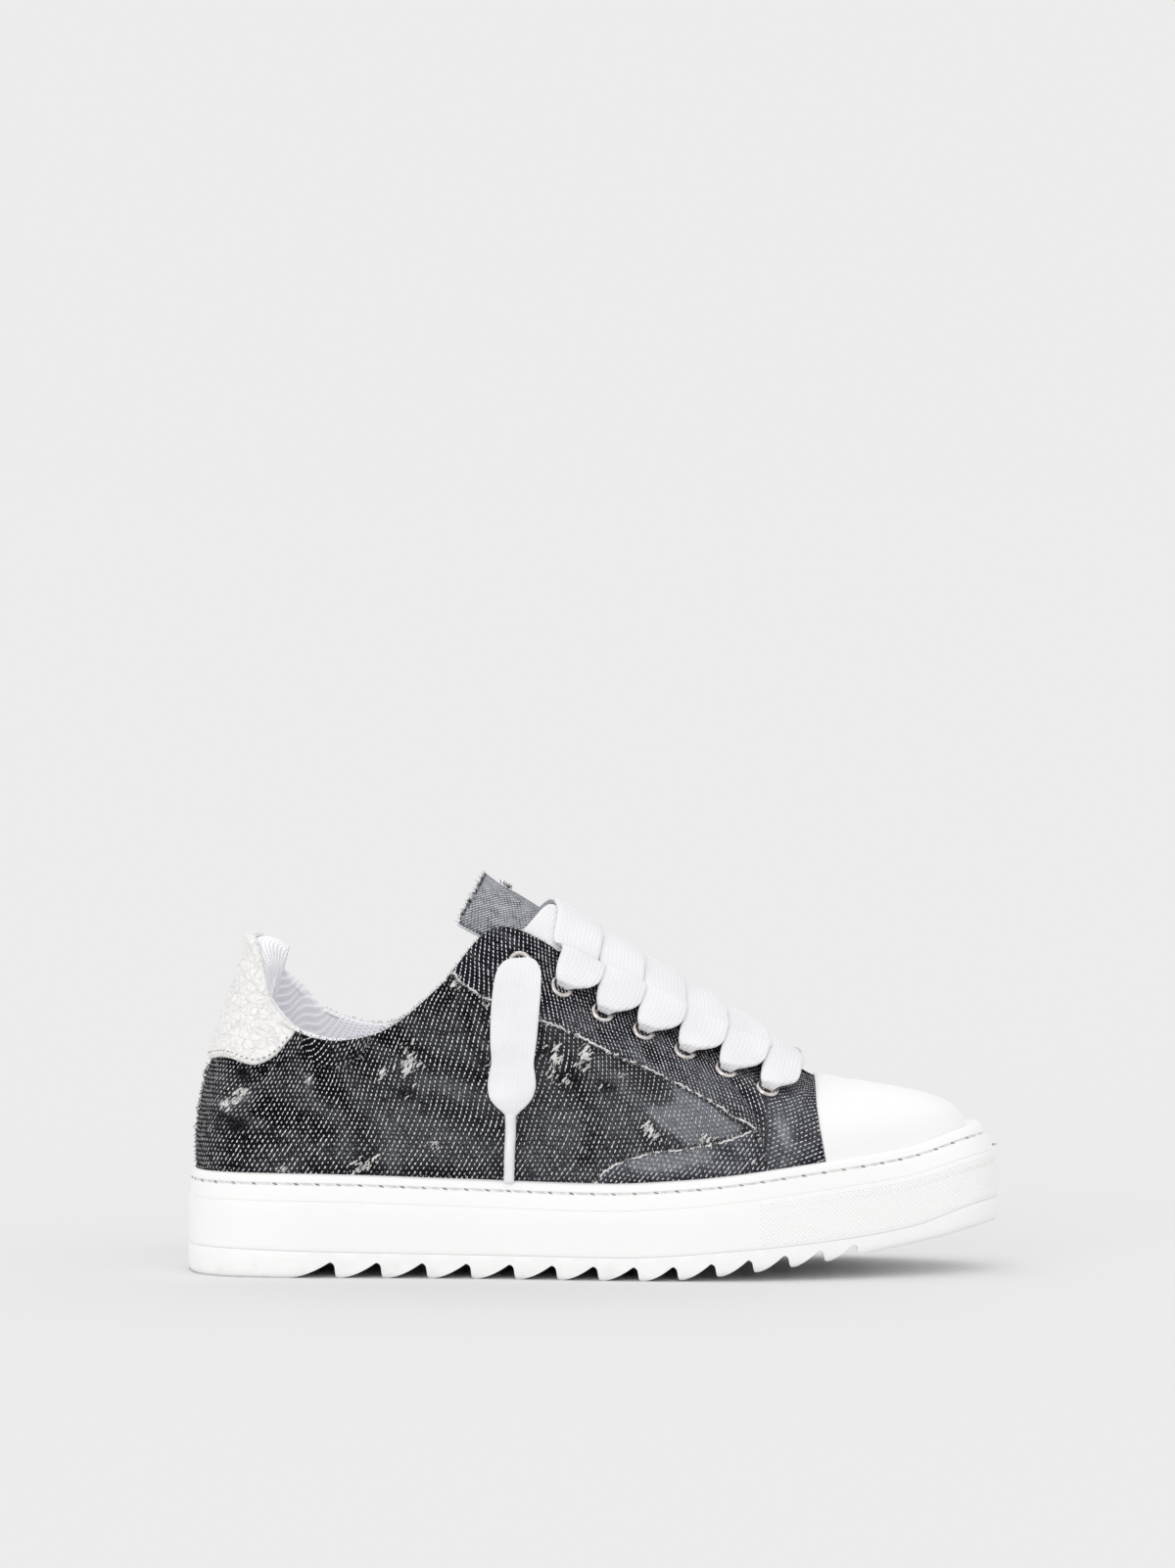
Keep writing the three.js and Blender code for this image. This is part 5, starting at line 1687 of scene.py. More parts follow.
    def haze(self) -> None:
        """Lays fine loose fibres where the cloth is washed."""
        for u, v, ru, rv, amount in WASHES:
            count = int(amount * ru * rv * 0.4)
            x = u + self.random.normal(0, ru * 0.6, count)
            z = v + self.random.normal(0, rv * 0.6, count)
            ok = (x > 6) & (x < 212) & (z > 37) & (z < 100)
            self.scatter_on(self.fuzz, x[ok], z[ok], 0.25, 1.0)
            ok = ok & (self.random.random(count) < 0.4)
            self.scatter_on(self.fuzz, np.clip(x[ok] - 11, 6, 205), z[ok], 0.25, 1.0, medial=True)

    def raw_edge(self, place: np.ndarray, share: np.ndarray, off: float, side: float,
                 name: str, yarn: bool = True, whiteness: float = 1.0,
                 thread: float = 1.0, yarn_to: float = 300.0) -> None:
        """Frays an edge.

        Args:
            place: places along the edge.
            share: shares along the edge.
            off: how far the edge stands off the canvas.
            side: -1 where the cloth lies above the edge, 1 where below.
            name: the yarn's name.
            yarn: whether a pale yarn lies along it.
            whiteness: how many pale threads stand on it.
            thread: how long its threads are.
            yarn_to: the x past which it has no pale yarn.
        """
        form = self.form
        base, out = form.skin(place, share)
        point = base + out * (self.relief(base, share) + off)[:, None]
        gone = lengths(point)
        ahead = unit(np.gradient(point, axis=0))

        def at(t: np.ndarray) -> tuple[np.ndarray, ...]:
            """Spots along the edge, with the ways out, ahead and off the cloth."""
            spot, way, run = (at_lengths(t, gone, table) for table in (point, out, ahead))
            way, run = unit(way), unit(run)
            down = np.cross(run, way) * side
            return spot, way, run, np.where((down[:, 2:] * side) < 0, -down, down)

        for group, pitch, push, size in ((self.white, 0.62 / max(whiteness, 0.05), 0.1, 0.62),
                                         (self.black, 0.5, 0.35, 0.9)):
            t = np.arange(pitch / 2, gone[-1], pitch)
            t = np.clip(t + self.random.normal(0, pitch * 0.3, len(t)), 0, gone[-1])
            spot, way, run, down = at(t)
            down = unit(down)
            lean = self.random.normal(0, 0.55, (len(t), 1))
            group.add(form.row(spot + down * push + way * self.random.uniform(
                -0.25, 0.1, (len(t), 1))), way, unit(down + run * lean),
                size * thread * self.random.uniform(0.6, 1.3, len(t)))
        if yarn:
            t = np.arange(0, gone[-1], 0.45)
            spot, way, _, down = at(t)
            flat = np.stack([t, 0 * t, 0 * t], 1)
            keep = ripple(flat, 4.2, 4.0 + len(self.yarns)) > -0.06
            keep = keep & (spot[:, 0] < yarn_to)
            wander = ripple(flat, 1.3, 9.0)[:, None]
            line = spot + down * (0.1 + 0.6 * wander) + way * (0.15 + 0.3 * np.abs(wander))
            thick = 0.34 + 0.2 * ripple(flat, 1.1, 2.0)
            edges = np.flatnonzero(np.diff(np.concatenate([[0], keep.astype(int), [0]])))
            for low, high in zip(edges[::2], edges[1::2]):
                if high - low > 3:
                    ends = np.sin(np.pi * np.linspace(0.1, 0.9, high - low)) ** 0.4
                    self.yarns.append(tube(f"{name}_{low}", form.row(line[low:high]),
                                           thick[low:high] * ends * MM, 6))

    def edges(self) -> None:
        """Frays all raw edges."""
        form = self.form
        keep = self.facing_low > 0.02
        for medial in (False, True):
            place = mirrored(self.facing_side[keep], medial)[3:]
            self.raw_edge(place, form.share_at(place, through(FACING_EDGE)), 0.7, -1,
                          f"facing_yarn_{int(medial)}", yarn_to=197.0)
            place = mirrored(self.along_edge(WING_EDGE, 141.5, 199.5, 120)[0], medial)
            self.raw_edge(place, form.share_at(place, through(WING_EDGE)), 0.55, 1,
                          f"wing_yarn_{int(medial)}")
        place = np.linspace(form.place_at(50, 0.9), form.place_at(64.8, 0.9), 60)
        self.raw_edge(place, form.share_at(place, through(FLAP_EDGE)), 1.2, -1, "flap_yarn",
                      False, 0.5)
        collar = np.linspace(form.place_at(40, 1.0), form.place_at(204, 1.0), 500)
        for medial in (False, True):
            self.raw_edge(mirrored(collar, medial), np.full(500, 0.995), 0.3, 1, "collar", False,
                          0.35, 0.6)
        share = np.linspace(0.02, 0.42, 60)
        for side in (0.006, 1.994):
            self.raw_edge(np.full(60, side), share, 0.1, 1, "heel_seam", False, 0.3, 0.9)
        rim = np.linspace(0.05, form.place_at(219), 400)
        for medial in (False, True):
            self.raw_edge(mirrored(rim, medial), np.full(400, 0.008), 0.15, 1, "rim", False,
                          0.25, 0.5)

    def build(self) -> None:
        """Builds the denim."""
        black = Twill("black_denim", Wash.BLACK).material()
        slate = Twill("slate_denim", Wash.SLATE).material()
        fit(self.shell(), ["upper"], black)
        fit(self.facing(), (), slate)
        fit(self.wing("wing_lateral", False), (), slate)
        fit(self.wing("wing_medial", True), (), slate)
        fit(self.flap(), (), black)
        self.tears()
        self.haze()
        self.edges()
        fit(self.white.make(thread_mesh(1.4 * MM, 0.27 * MM, 0.35, 4)))
        fit(self.black.make(thread_mesh(1.7 * MM, 0.14 * MM, 1.2)))
        fit(self.fuzz.make(thread_mesh(2.4 * MM, 0.045 * MM, 0.35, 3, 4)))
        fit(joined("raw_edge_yarn", self.yarns), (), self.pale)


def tube(name: str, line: np.ndarray, radius: np.ndarray | float,
         sides: int = 8) -> bpy.types.Object:
    """A closed round tube along points, in metres."""
    run = unit(np.gradient(line, axis=0))
    least = np.eye(3)[np.argmin(np.abs(run).mean(0))]
    side = unit(np.cross(run, least))
    up = np.cross(side, run)
    angle = np.arange(sides) * 2 * np.pi / sides
    thick = np.broadcast_to(radius, len(line))[:, None, None]
    rows = line[:, None] + thick * (side[:, None] * np.cos(angle)[:, None]
                                    + up[:, None] * np.sin(angle)[:, None])
    return outward(grid(name, rows, loop_columns=True), cap=True)


# Lining and leather ------------------------------------------------------------------------


@dataclass
class Lining:
    """The padded mesh lining, rolled over the collar's edge."""

    form: Form
    clear: float = 1.25
    roll: float = 0.36
    most: float = 1.8
    below: float = 0.35

    def build(self) -> None:
        """Builds the lining."""
        form = self.form
        place = np.linspace(0, 2, 401)[:-1]
        share = np.concatenate([np.linspace(0.0, 0.9, 34), np.linspace(0.925, 1, 5)])
        places, shares = np.meshgrid(place, share)
        base, out = form.skin(places, shares)
        wall = form.wall_at(places, shares)
        quilt = 0.8 * np.exp(-((folded(places) - 0.235) / 0.012) ** 2) \
            * np.clip(shares / 0.3, 0, 1)
        soft = 0.25 * ripple(base, 14, 6.0)
        inner = base - out * (wall - quilt + soft * np.clip(shares * 3, 0, 1))[..., None]
        outer = base[2:] - out[2:] * self.clear
        top, normal = base[-1], out[-1]
        up = unit(base[-1] - base[-2])
        thick = wall[-1] - self.clear
        puff = np.where(top[:, 1] > 0, 3.4 * np.exp(-((top[:, 0] - 38.5) / 4.5) ** 2), 0)
        roll = []
        for angle in np.radians(np.arange(20, 180, 20)):
            across = -self.clear - thick / 2 + thick / 2 * np.cos(angle)
            rise = (np.minimum(self.roll * thick, self.most) + puff) * np.sin(angle) ** 1.5
            rise = rise - self.below
            roll.append(top + normal * across[:, None] + up * rise[:, None])
        rows = np.concatenate([outer, np.array(roll), inner[::-1]])
        uv = cloth_uv(rows, True) * MM
        made = outward(grid("collar_lining", form.row(rows), loop_rows=True, loop_columns=True,
                            uv=np.concatenate([uv, uv[:1]], 0)))
        fit(made, (), AirMesh().material())


def edge_places(form: Form, edge: Curve, shares: np.ndarray, medial: bool) -> np.ndarray:
    """Places at which x passes a line that is given by height, for each share."""
    def under(place: np.ndarray) -> np.ndarray:
        """Whether the canvas is still behind the line."""
        point = form.surface(mirrored(place, medial), shares)
        return point[:, 0] < edge(point[:, 2])

    low, high = halve(np.full(len(shares), 0.55), np.ones(len(shares)), under, 30)
    return mirrored((low + high) / 2, medial)


@dataclass
class ToeCap:
    """Smooth white leather pulled over the toe."""

    form: Form
    lift: float = 0.4
    thickness: float = 1.1

    def build(self) -> None:
        """Builds the toe cap."""
        form = self.form
        edge = through([(30, 222), (38.8, 221), (47.4, 219.6), (54, 218.5), (60.6, 217.8),
                        (80, 217.6)])
        shares = np.linspace(0.7, 1, 200)
        crest = form.surface(np.ones(200), shares)
        top = float(np.interp(-217.7, -crest[:, 0], shares))
        spread = top * np.sin(np.linspace(0, math.pi / 2, 70))
        lateral = edge_places(form, edge, spread, False)
        medial = edge_places(form, edge, spread, True)
        border = np.column_stack([np.concatenate([lateral, medial[-2::-1]]),
                                  np.concatenate([spread, spread[-2::-1]])])
        count = len(border)
        rim = np.linspace(lateral[0], medial[0], count)
        t = np.concatenate([[0, 0.004, 0.012, 0.024], np.linspace(0.045, 1, 56)])[:, None]
        place = border[:, 0] * (1 - t) + rim * t
        share = border[:, 1] * (1 - t)
        base, out = form.skin(place, share)
        lip = np.clip(t / 0.014, 0.25, 1) ** 0.6
        crease = 0.35 * np.exp(-((base[..., 0] - 229) / 2.2) ** 2) * np.clip(share, 0, 1)
        soft = 0.22 * ripple(base, 17, 12.0) - crease
        thick = self.lift + self.thickness * lip + soft * np.clip(t * 12, 0, 1)
        made = slab("toe_leather", form.row(base + out * thick[..., None]),
                    form.row(base + out * (0 * thick + self.lift - 0.1)[..., None]))
        # edge: 1 at the rear edge where the denim meets the cap; the material paints shade there.
        mark = np.exp(-t / 0.02) + 0 * place
        paint(made, "edge", np.concatenate([mark, 0 * mark]).ravel())
        fit(made, ["toe_cap"], Leather("toe_leather", False).material())


@dataclass
class HeelTab:
    """Tumbled white leather over the heel, with a wavy, stitched lower edge."""

    form: Form
    lift: float = 0.4
    thickness: float = 1.1
    stitch_in: float = 1.7
    stitch_pitch: float = 2.1
    wall_height: float = 62

    def low_edge(self) -> Curve:
        """The lower edge on the side view."""
        return through([(-2, 70.6), (2, 70.4), (6.4, 72.2), (9.9, 74.2), (13.1, 75.0),
                        (15.8, 74.8), (19.7, 73.5), (23.6, 72.7), (27.5, 73.6), (31.4, 76.0),
                        (35.3, 80.3), (38.8, 85.2), (40.5, 93), (42, 99)])

    def build(self) -> None:
        """Builds the tab and its stitches."""
        form = self.form
        end = form.place_at(39.8, 1.0)
        side = end * np.sin(np.linspace(0, math.pi / 2, 90))
        place = np.mod(np.concatenate([-side[:0:-1], side]), 2)
        low = np.minimum(form.share_at(place, self.low_edge()), 0.998)
        t = np.concatenate([[0, 0.012, 0.03, 0.06], np.linspace(0.09, 0.94, 50),
                            [0.965, 0.985, 1.0]])[:, None]
        places = np.broadcast_to(place, (len(t), len(place)))
        shares = low + (1 - low) * t
        base, out = form.skin(places, shares)
        lip = np.clip(t / 0.03, 0.2, 1) ** 0.6
        roll = 0.6 * np.exp(-((1 - t) / 0.04) ** 2) + 0.25 * np.exp(-((t - 0.03) / 0.02) ** 2)
        groove = -0.25 * np.exp(-((t - 0.075) / 0.018) ** 2) - 0.35 * np.exp(
            -((t - 0.88) / 0.03) ** 2)
        folds = 0.3 * ripple(base * [1, 1, 1.5], 7, 15.0) + 0.25 * ripple(base, 15, 22.0)
        thick = self.lift + self.thickness * lip + roll + groove + folds * np.clip(t * 8, 0, 1) \
            * np.clip((1 - t) * 8, 0, 1)
        outer = base + out * thick[..., None]
        inner = base + out * (0 * thick + self.lift - 0.1)[..., None]
        up = unit(base[-1] - base[-2])
        over = [base[-1] + out[-1] * (self.lift + self.thickness + 0.6 - w) + up * h
                for w, h in ((0.3, 0.8), (1.3, 1.5), (2.6, 1.6), (3.6, 1.0))]
        under = [base[-1] + out[-1] * (self.lift + self.thickness - w) + up * h
                 for w, h in ((3.4, 0.3), (2.6, 0.6), (1.3, 0.5))]
        made = slab("heel_leather", form.row(np.concatenate([outer, over])),
                    form.row(np.concatenate([inner, inner[-1:], under[::-1]])))
        mark = np.concatenate([np.exp(-t / 0.03) + np.exp(-(1 - t) / 0.06) + 0 * places,
                               np.ones((4, len(place)))])
        paint(made, "edge", np.concatenate([mark, 0 * mark]).ravel())
        fit(made, ["heel_tab"], Leather("heel_leather", True).material())
        fit(self.stitches(place, low))

    def stitches(self, place: np.ndarray, low: np.ndarray) -> bpy.types.Object:
        """Makes the row of short stitches along the lower edge, as dark grey pills: painted shade
        of the stitch holes.
        """
        form = self.form
        share = np.minimum(low + self.stitch_in / self.wall_height, 1)
        base, out = form.skin(place, share)
        line = base + out * (self.lift + self.thickness + 0.02)
        keep = low < 0.93
        line, out = line[keep], out[keep]
        gone = lengths(line)
        t = np.arange(1, gone[-1], self.stitch_pitch)
        spot, way, run = (at_lengths(t, gone, table)
                          for table in (line, out, unit(np.gradient(line, axis=0))))
        # Painted shade: the stitch dots are dark grey, standing for the stitch holes.
        dots = Scatter("heel_tab_stitches", Yarn("tab_stitch_hole_shade", (0.25, 0.24, 0.24),
                                                 (0.45, 0.44, 0.43)).material())
        dots.add(form.row(spot), unit(way), unit(run))
        return dots.make(pill(1.0 * MM, 0.3 * MM, 0.2 * MM))


# Tongue, eyelets and lace ------------------------------------------------------------------


@dataclass
class Tongue:
    """A raw-edged denim tongue, curved over the instep."""

    form: Form
    thickness: float = 2.4
    lean: float = 0.515
    cloth_length: float = 150
    cloth_half: float = 34

    def __post_init__(self) -> None:
        """Draws its ridge and how it curls."""
        top = self.form.instep_height
        keys = [(104, top + 19.4, 28, 69), (121, top + 8.8, 28, 67), (141, top - 4.4, 28, 63),
                (165, top - 19.6, 28, 57), (185, top - 31.8, 28, 54), (199, top - 40.3, 28, 52),
                (209, top - 48.5, 27, 48), (220, top - 55.5, 27, 43), (232, top - 60.5, 27, 36)]
        self.ridge = spline(keys)

    def point(self, along: np.ndarray, across: np.ndarray) -> np.ndarray:
        """A point of its outer face: down the tongue, and across from -1 to 1."""
        key = self.ridge(np.asarray(along, float))
        radius = key[..., 2]
        angle = np.radians(across * key[..., 3])
        fall = radius * (1 - np.cos(angle))
        return np.stack([key[..., 0] - self.lean * fall, radius * np.sin(angle),
                         key[..., 1] - math.sqrt(1 - self.lean ** 2) * fall], -1)

    def normal(self, along: np.ndarray, across: np.ndarray) -> np.ndarray:
        """Its outward direction."""
        step = 0.01
        down = (self.point(np.minimum(along + step, 1), across)
                - self.point(np.maximum(along - step, 0), across))
        side = self.point(along, across + step) - self.point(along, across - step)
        return unit(np.cross(down, side))

    def ridge_at(self, x: float) -> float:
        """How far down it its ridge has the given x."""
        return float(halve(0.0, 1.0, lambda along: self.ridge(along)[0] < x, 24)[0])

    def build(self, denim: Denim) -> None:
        """Builds the tongue, with the threads of its free edges."""
        form = self.form
        along, across = np.meshgrid(np.linspace(0, 1, 110), np.linspace(-1, 1, 60),
                                    indexing="ij")
        base, out = self.point(along, across), self.normal(along, across)
        wave = 0.5 * ripple(base, 19, 31.0) + 0.25 * ripple(base, 6, 2.0)
        wave = wave + 1.2 * np.exp(-((along - 0.02) / 0.05) ** 2) * ripple(base, 12, 4.0)
        hold = np.clip((0.3 - along) / 0.1, 0.15, 1)
        bend = -1.6 * np.exp(-(along / 0.06) ** 2) * np.abs(across) ** 3
        outer = base + out * (wave * hold + bend)[..., None]
        rag = 0.5 * ripple(base * 3, 6, 7.0)
        edge = np.clip(1 - along / 0.02, 0, 1) + np.clip((np.abs(across) - 0.97) / 0.03, 0, 1)
        outer = outer + np.stack([-rag * edge, 0 * rag, rag * edge * 0.5], -1)
        uv = np.stack([along * self.cloth_length, across * self.cloth_half], -1) * MM
        made = slab("denim_tongue", form.row(outer), form.row(outer - out * self.thickness), uv)
        point = points_of(made) / MM
        paint(made, "wash", np.clip(0.55 + 0.35 * ripple(point, 11, 3.0), 0, 1))
        for mark in ("hole_shade", "bare"):
            paint(made, mark, np.zeros(len(point)))
        fit(made, ["tongue"], Twill("grey_denim", Wash.GREY, 0.9, 1.3,
                                                    35).material())
        self.fray(denim)

    def fray(self, denim: Denim) -> None:
        """Adds the loose threads of the free end and the dark tuft on its crest."""
        form, random = self.form, denim.random
        across = random.uniform(-1, 1, 240)
        along = np.zeros(240)
        sides = random.uniform(0, 0.12, 120)
        across = np.concatenate([across, np.sign(random.uniform(-1, 1, 120))])
        along = np.concatenate([along, sides])
        point, out = self.point(along, across), self.normal(along, across)
        depth = random.uniform(0, self.thickness, len(along))[:, None]
        ahead = self.point(along + 0.02, across) - point
        side = np.cross(out, unit(ahead))
        lean = random.normal(0, 0.6, (len(along), 1))
        away = np.where(along[:, None] == 0, -unit(ahead), side * -np.sign(across)[:, None])
        for group, part in ((denim.black, slice(0, None, 2)), (denim.fuzz, slice(1, None, 2))):
            group.add(form.row(point - out * depth)[part], out[part],
                      unit(away + side * lean)[part], 0.75)
        spot = np.full(16, 0.052) + random.normal(0, 0.006, 16)
        over = random.normal(-0.05, 0.03, 16)
        denim.black.add(form.row(self.point(spot, over) + self.normal(spot, over) * 0.4),
                        self.normal(spot, over), unit(random.normal(0, 1, (16, 3))), 1.1)


@dataclass(frozen=True)
class Eyelet:
    """Where one eyelet sits: its side, its spot on the canvas and the throat edge beside it."""

    side: int
    point: np.ndarray
    normal: np.ndarray
    throat: float
    down: float


@dataclass
class Eyelets:
    """Seven rolled metal rings on each side."""

    form: Form
    first: float = 115.6
    step: float = 14.15
    a_side: int = 7
    hole: float = 2.3
    flange: float = 4.3
    rows: list[list[Eyelet]] = field(default_factory=list)

    def __post_init__(self) -> None:
        """Finds the spots."""
        to_edge = through([(115, 13.5), (130, 18), (144, 20.5), (158, 21.5), (173, 24),
                           (187, 26.5), (202, 30)])
        for side in (-1, 1):
            row = []
            for i in range(self.a_side):
                x = self.first + i * self.step
                down = float(to_edge(x))
                place, share = self.form.below_edge(x, down, side)
                throat = abs(float(self.form.surface(place, 1.0)[1]))
                row.append(Eyelet(side, *self.form.skin(place, share), throat, down))
            self.rows.append(row)

    def ring(self, spot: Eyelet) -> bpy.types.Object:
        """Makes one ring: a rolled flange outside and a clenched one inside."""
        mouth, barrel, face, back = self.hole, self.hole + 0.4, 0.95, -3.0
        profile = [(mouth, back), (mouth + 1.2, back - 0.1), (mouth + 1.2, back + 0.3),
                   (barrel, back + 0.5), (barrel, face), (self.flange - 0.15, face),
                   (self.flange, face + 0.35), (self.flange - 0.3, face + 0.85),
                   (self.flange - 0.9, face + 1.05), (self.flange - 1.5, face + 0.8),
                   (mouth + 0.12, face + 0.1), (mouth, face - 0.6)]
        angle = np.arange(30) * 2 * np.pi / 30
        out = spot.normal
        side = unit(np.cross(out, [0, 0, 1.0]))
        up = np.cross(side, out)
        around = side[None] * np.cos(angle)[:, None] + up[None] * np.sin(angle)[:, None]
        rows = np.array([spot.point + r * around + out * h for r, h in profile])
        return outward(grid("ring", self.form.row(rows), loop_rows=True, loop_columns=True))

    def build(self) -> None:
        """Builds the rings as one piece."""
        rings = [self.ring(spot) for row in self.rows for spot in row]
        names = [f"eyelet_{side}_{i + 1}" for side in ("lateral", "medial")
                 for i in range(self.a_side)]
        fit(joined("eyelets", rings), names, Metal().material())


@dataclass(frozen=True)
class Rung:
    """One row across a lace: its two edges, its outward way and its thickness."""

    near: np.ndarray
    far: np.ndarray
    out: np.ndarray
    thick: float

    def numbers(self) -> np.ndarray:
        """All in one row of numbers."""
        return np.concatenate([self.near, self.far, self.out, [self.thick]])


@dataclass
class Laces:
    """The flat white lace: crossings over the tongue, and the end that hangs outside."""

    form: Form
    eyelets: Eyelets
    tongue: Tongue
    width: float = 17.0
    thickness: float = 2.3
    ridge_ahead: float = 9.5
    last_ridge: float = 211.0
    last_facing: float = 211.0
    slope: float = 0.87
    tilt: float = 0.8
    tip_length: float = 24.0

    def on_facing(self, spot: Eyelet, down: float, ahead: float, width: float,
                  lift: float) -> Rung:
        """A rung on the facing of an eyelet, a given way down from the throat edge."""
        ends, outs = [], []
        for end in (-1, 1):
            x = spot.point[0] + ahead + end * width * self.slope / 2
            point, out = self.form.skin(
                *self.form.below_edge(min(x, self.last_facing), down, spot.side))
            ends.append(point + out * (lift + end * self.tilt * width / self.width))
            outs.append(out)
        return Rung(ends[0], ends[1], unit(outs[0] + outs[1]), self.thickness)

    def on_tongue(self, start: Eyelet, end: Eyelet, part: float, width: float,
                  lift: float) -> Rung:
        """A rung on the tongue, part of the way from one eyelet to one on the other side."""
        x = start.point[0] + (end.point[0] - start.point[0]) * part + self.ridge_ahead
        throat = start.throat + (end.throat - start.throat) * part
        ends, outs = [], []
        for side in (-1, 1):
            along = self.tongue.ridge_at(min(x + side * width * self.slope / 2, self.last_ridge))
            key = self.tongue.ridge(along)
            limit = math.degrees(math.asin(throat / key[2])) / key[3]
            across = start.side * (1 - 2 * part) * limit
            out = self.tongue.normal(along, across)
            ends.append(self.tongue.point(along, across) + out * (lift + side * self.tilt))
            outs.append(out)
        return Rung(ends[0], ends[1], unit(outs[0] + outs[1]), self.thickness)

    def crossing(self, start: Eyelet, end: Eyelet, lift: float) -> list[Rung]:
        """The rungs of one crossing, from its eyelet to the other side's throat edge."""
        down = start.down
        hole, out = start.point, start.normal
        ahead = unit(np.array([1.0, 0, -0.45]) - out * np.dot([1.0, 0, -0.45], out))
        mouth = [Rung(hole - ahead * w + out * h, hole + ahead * w + out * h, out, t)
                 for w, h, t in ((1.9, -2.4, 2.6), (2.1, -0.3, 3.0))]
        return [*mouth,
                self.on_facing(start, down - 0.2, 0.6, 6.4, 2.0),
                self.on_facing(start, down - 2.0, 1.7, 10.4, 2.8),
                self.on_facing(start, down - 5.0, 3.2, 14.2, 3.4),
                self.on_facing(start, 0.6 * (down - 5.0), 4.8, 16.6, 3.4),
                self.on_facing(start, 0.3, 6.0, self.width, 4.2),
                self.on_tongue(start, end, 0.14, self.width, 5.4),
                self.on_tongue(start, end, 0.36, self.width, lift + 0.4),
                self.on_tongue(start, end, 0.6, self.width, lift),
                self.on_tongue(start, end, 0.82, self.width - 2, min(lift, 3.0) - 0.9)]

    def ribbon(self, name: str, rungs: Sequence[Rung], steps: int,
               seed: float) -> tuple[bpy.types.Object, np.ndarray]:
        """A soft flat band through rungs.

        Args:
            name: the piece's name.
            rungs: its rows.
            steps: how many rows it gets between two rungs.
            seed: what its unevenness is drawn from.

        Returns:
            The band and its middle line, in metres.
        """
        table = spline([r.numbers() for r in rungs])(
            np.linspace(0, 1, (len(rungs) - 1) * steps + 1))
        near, far, out = table[:, :3], table[:, 3:6], unit(table[:, 6:9])
        middle, half = (near + far) / 2, (far - near) / 2
        wide = np.linalg.norm(half, axis=1)
        gone = lengths(middle)
        angle = np.arange(28) * 2 * np.pi / 28
        s = np.sign(np.cos(angle)) * np.abs(np.cos(angle)) ** 0.55
        h = np.sign(np.sin(angle)) * np.abs(np.sin(angle)) ** 0.7
        rib = 0.03 * np.cos(2 * np.pi * s[None] * wide[:, None] / 1.5)
        tall = table[:, 9][:, None] / 2
        points = middle[:, None] + half[:, None] * s[None, :, None] + out[:, None] * (
            tall + tall * h[None] + rib * (h[None] > 0.2))[..., None]
        for size, draw, deep in ((6.0, seed, 0.32), (2.6, seed + 1, 0.14)):
            points = points + out[:, None] * (ripple(points, size, draw)[..., None] * deep)
        around = np.concatenate([s, s[:1]])
        uv = np.stack([around[None] * wide[:, None], np.broadcast_to(
            gone[:, None], (len(gone), 29))], -1)
        made = outward(grid(name, self.form.row(points), loop_columns=True, uv=uv * MM),
                       cap=True)
        soil = np.clip(0.5 + ripple(points, 13, seed + 5) * 1.3, 0, 1) * 0.3
        layer = np.zeros(len(made.data.vertices))
        layer[:soil.size] = soil.ravel()
        paint(made, "soil", layer)
        return made, self.form.row(middle + out * tall)

    def build_crossings(self, finish: bpy.types.Material) -> None:
        """Builds the crossings as one piece."""
        lateral, medial = self.eyelets.rows
        bands = []
        for i in range(self.eyelets.a_side - 1, 0, -1):
            if i > 1:
                rungs = self.crossing(medial[i], lateral[i - 1], 2.6)
                bands.append(self.ribbon(f"under_{i}", rungs, 7, 3.0 * i)[0])
            rungs = self.crossing(lateral[i], medial[i - 1], 4.6)
            bands.append(self.ribbon(f"over_{i}", rungs, 7, 5.0 * i + 1)[0])
        fit(joined("laces", bands), ["lace_crossings"], finish)

    def hanging(self, denim: Denim) -> list[Rung]:
        """The rungs of the end that hangs down the outside."""
        keys = ((108.8, 3.4, 114.9, 1.2, 2.6), (108.1, 9.5, 114.9, 2.0, 2.6),
                (104.8, 14.0, 114.8, 2.1, 2.5), (99.0, 15.8, 114.6, 1.9, 2.4),
                (91.0, 16.3, 114.3, 1.7, 2.3), (82.0, 15.8, 114.0, 1.6, 2.3),
                (74.6, 14.9, 113.7, 1.5, 2.3), (70.4, 16.2, 113.6, 1.5, 2.4),
                (66.4, 16.7, 113.5, 1.6, 2.4), (62.6, 14.6, 113.4, 1.8, 2.5),
                (59.8, 10.4, 113.3, 1.8, 2.6), (57.6, 5.6, 113.3, 1.6, 2.5),
                (55.4, 3.0, 113.2, 1.7, 2.4), (52.4, 2.6, 113.2, 1.9, 2.2))
        rungs = []
        for z, width, x, lift, thick in keys:
            ends = []
            for side in (-1, 1):
                point, out, _ = denim.spots(np.array([x + side * width / 2]), np.array([z]))
                ends.append(point[0] + out[0] * lift)
            rungs.append(Rung(ends[0], ends[1], out[0], thick))
        return rungs

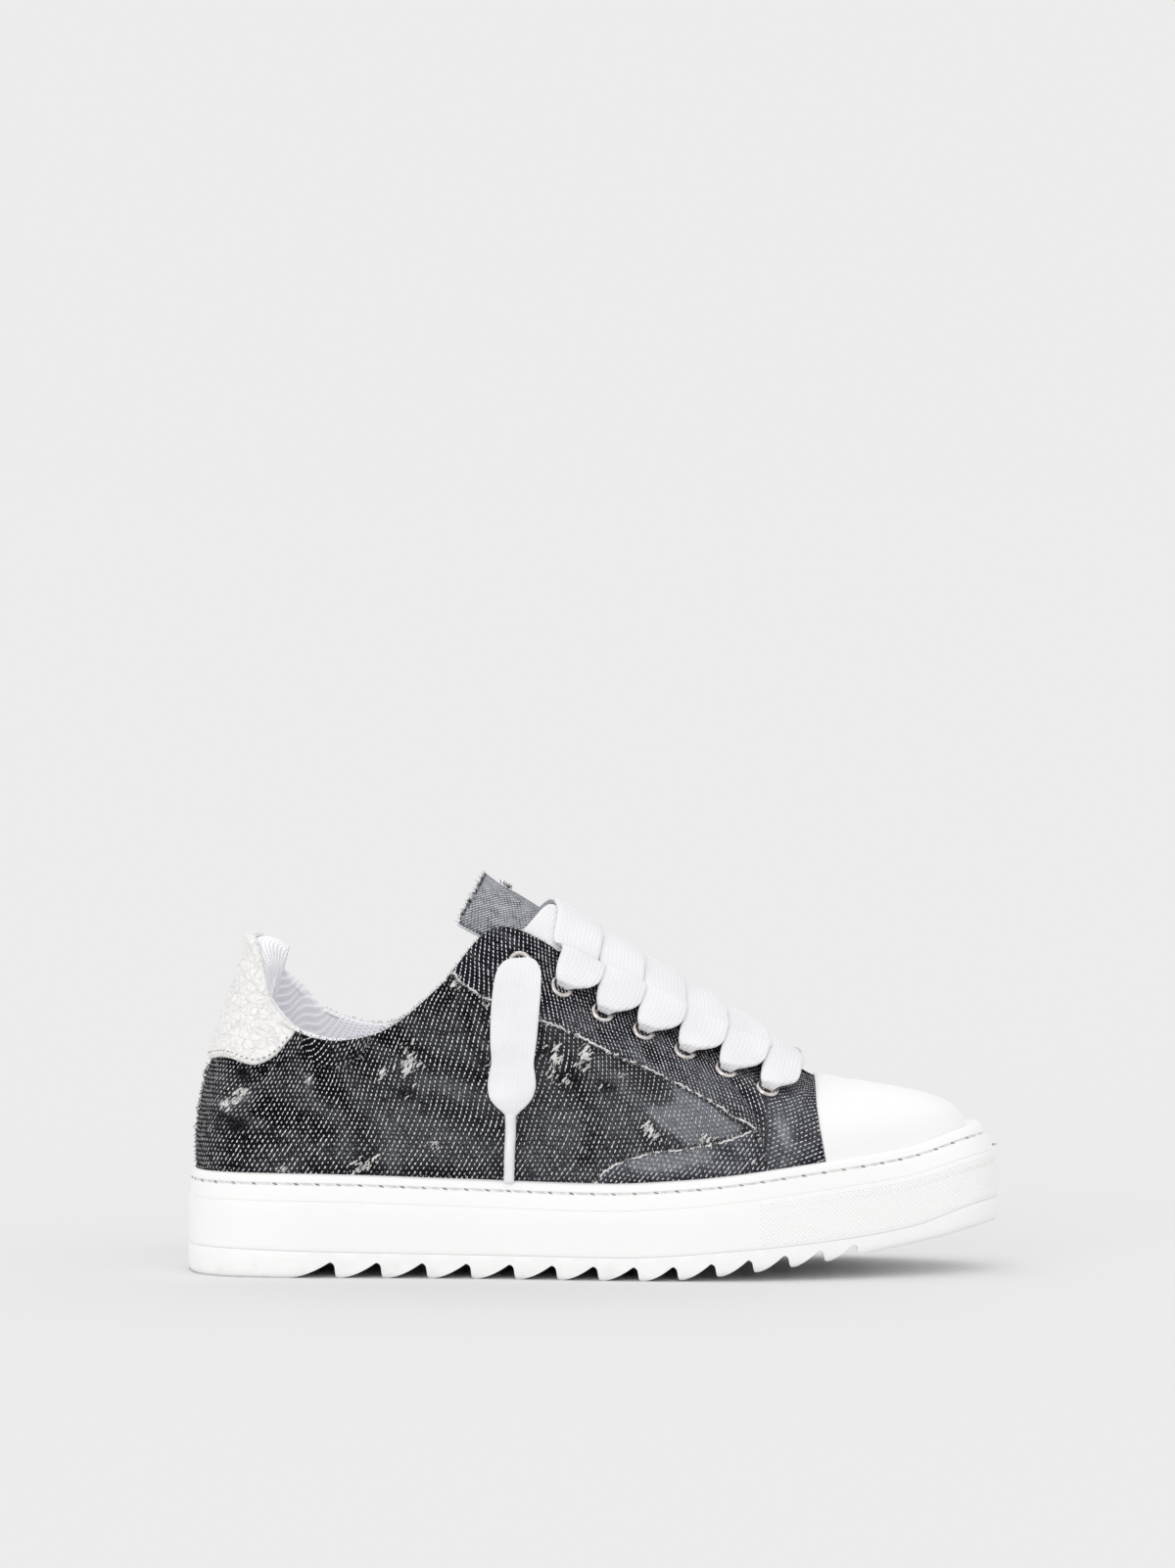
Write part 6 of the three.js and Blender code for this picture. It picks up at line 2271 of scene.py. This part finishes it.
    def build_end(self, denim: Denim, finish: bpy.types.Material) -> None:
        """Builds the run from the second medial eyelet over to the hanging end and its tip."""
        lateral, medial = self.eyelets.rows
        start = self.crossing(medial[1], lateral[0], 2.6)
        start = [Rung(r.far, r.near, r.out, r.thick) if k < 2 else r
                 for k, r in enumerate(start)]
        spot = lateral[0]
        hidden = []
        for down, width, off in ((3.5, 11, -6.6), (8.5, 8, -5.6), (12.2, 5, -4.9)):
            rung = self.on_facing(spot, down, -0.5, width, off)
            hidden.append(Rung(rung.near, rung.far, rung.out, 1.7))
        ahead = unit(np.array([1.0, 0, 0]) - spot.normal * spot.normal[0])
        for depth, half in ((-2.0, 2.0), (0.4, 2.0)):
            middle = spot.point + spot.normal * depth
            hidden.append(Rung(middle - ahead * half, middle + ahead * half, spot.normal, 2.4))
        rungs = [*start, *hidden, *self.hanging(denim)]
        made, path = self.ribbon("lace_end_run", rungs, 8, 40.0)
        fit(made, ["lace_end"], finish)
        tip = self.build_tip(denim)
        length = float(np.linalg.norm(np.diff(path, axis=0), axis=1).sum())
        tuple(path[0])

    def build_tip(self, denim: Denim) -> bpy.types.Object:
        """Builds the bound tip."""
        t = np.linspace(0, 1, 24)
        heights = 57.4 - self.tip_length * t
        point, out, _ = denim.spots(113.2 - 0.7 * t, np.maximum(heights, 37.2))
        point[:, 2] = heights
        line = point + out * 3.0
        radius = 1.95 - 0.12 * t + 0.1 * np.exp(-((t - 0.03) / 0.03) ** 2)
        radius = radius * np.clip(1.0 - (t - 0.96) * 6, 0.75, 1)
        made = tube("lace_tip", self.form.row(line), radius * MM, 18)
        return fit(made, ["aglet"], Film().material())


def main() -> None:
    """Builds the camera and the lace, then the rest of the shoe, then the room."""
    logging.basicConfig(level=logging.INFO)
    studio = Studio()
    studio.camera()
    form = Form()
    denim = Denim(form)
    eyelets = Eyelets(form)
    tongue = Tongue(form)
    laces = Laces(form, eyelets, tongue)
    cotton = Cotton().material()
    laces.build_end(denim, cotton)
    laces.build_crossings(cotton)
    Sole(form).build()
    tongue.build(denim)
    denim.build()
    Lining(form).build()
    ToeCap(form).build()
    HeelTab(form).build()
    eyelets.build()
    studio.floor(studio.light())


if __name__ == "__main__":
    main()
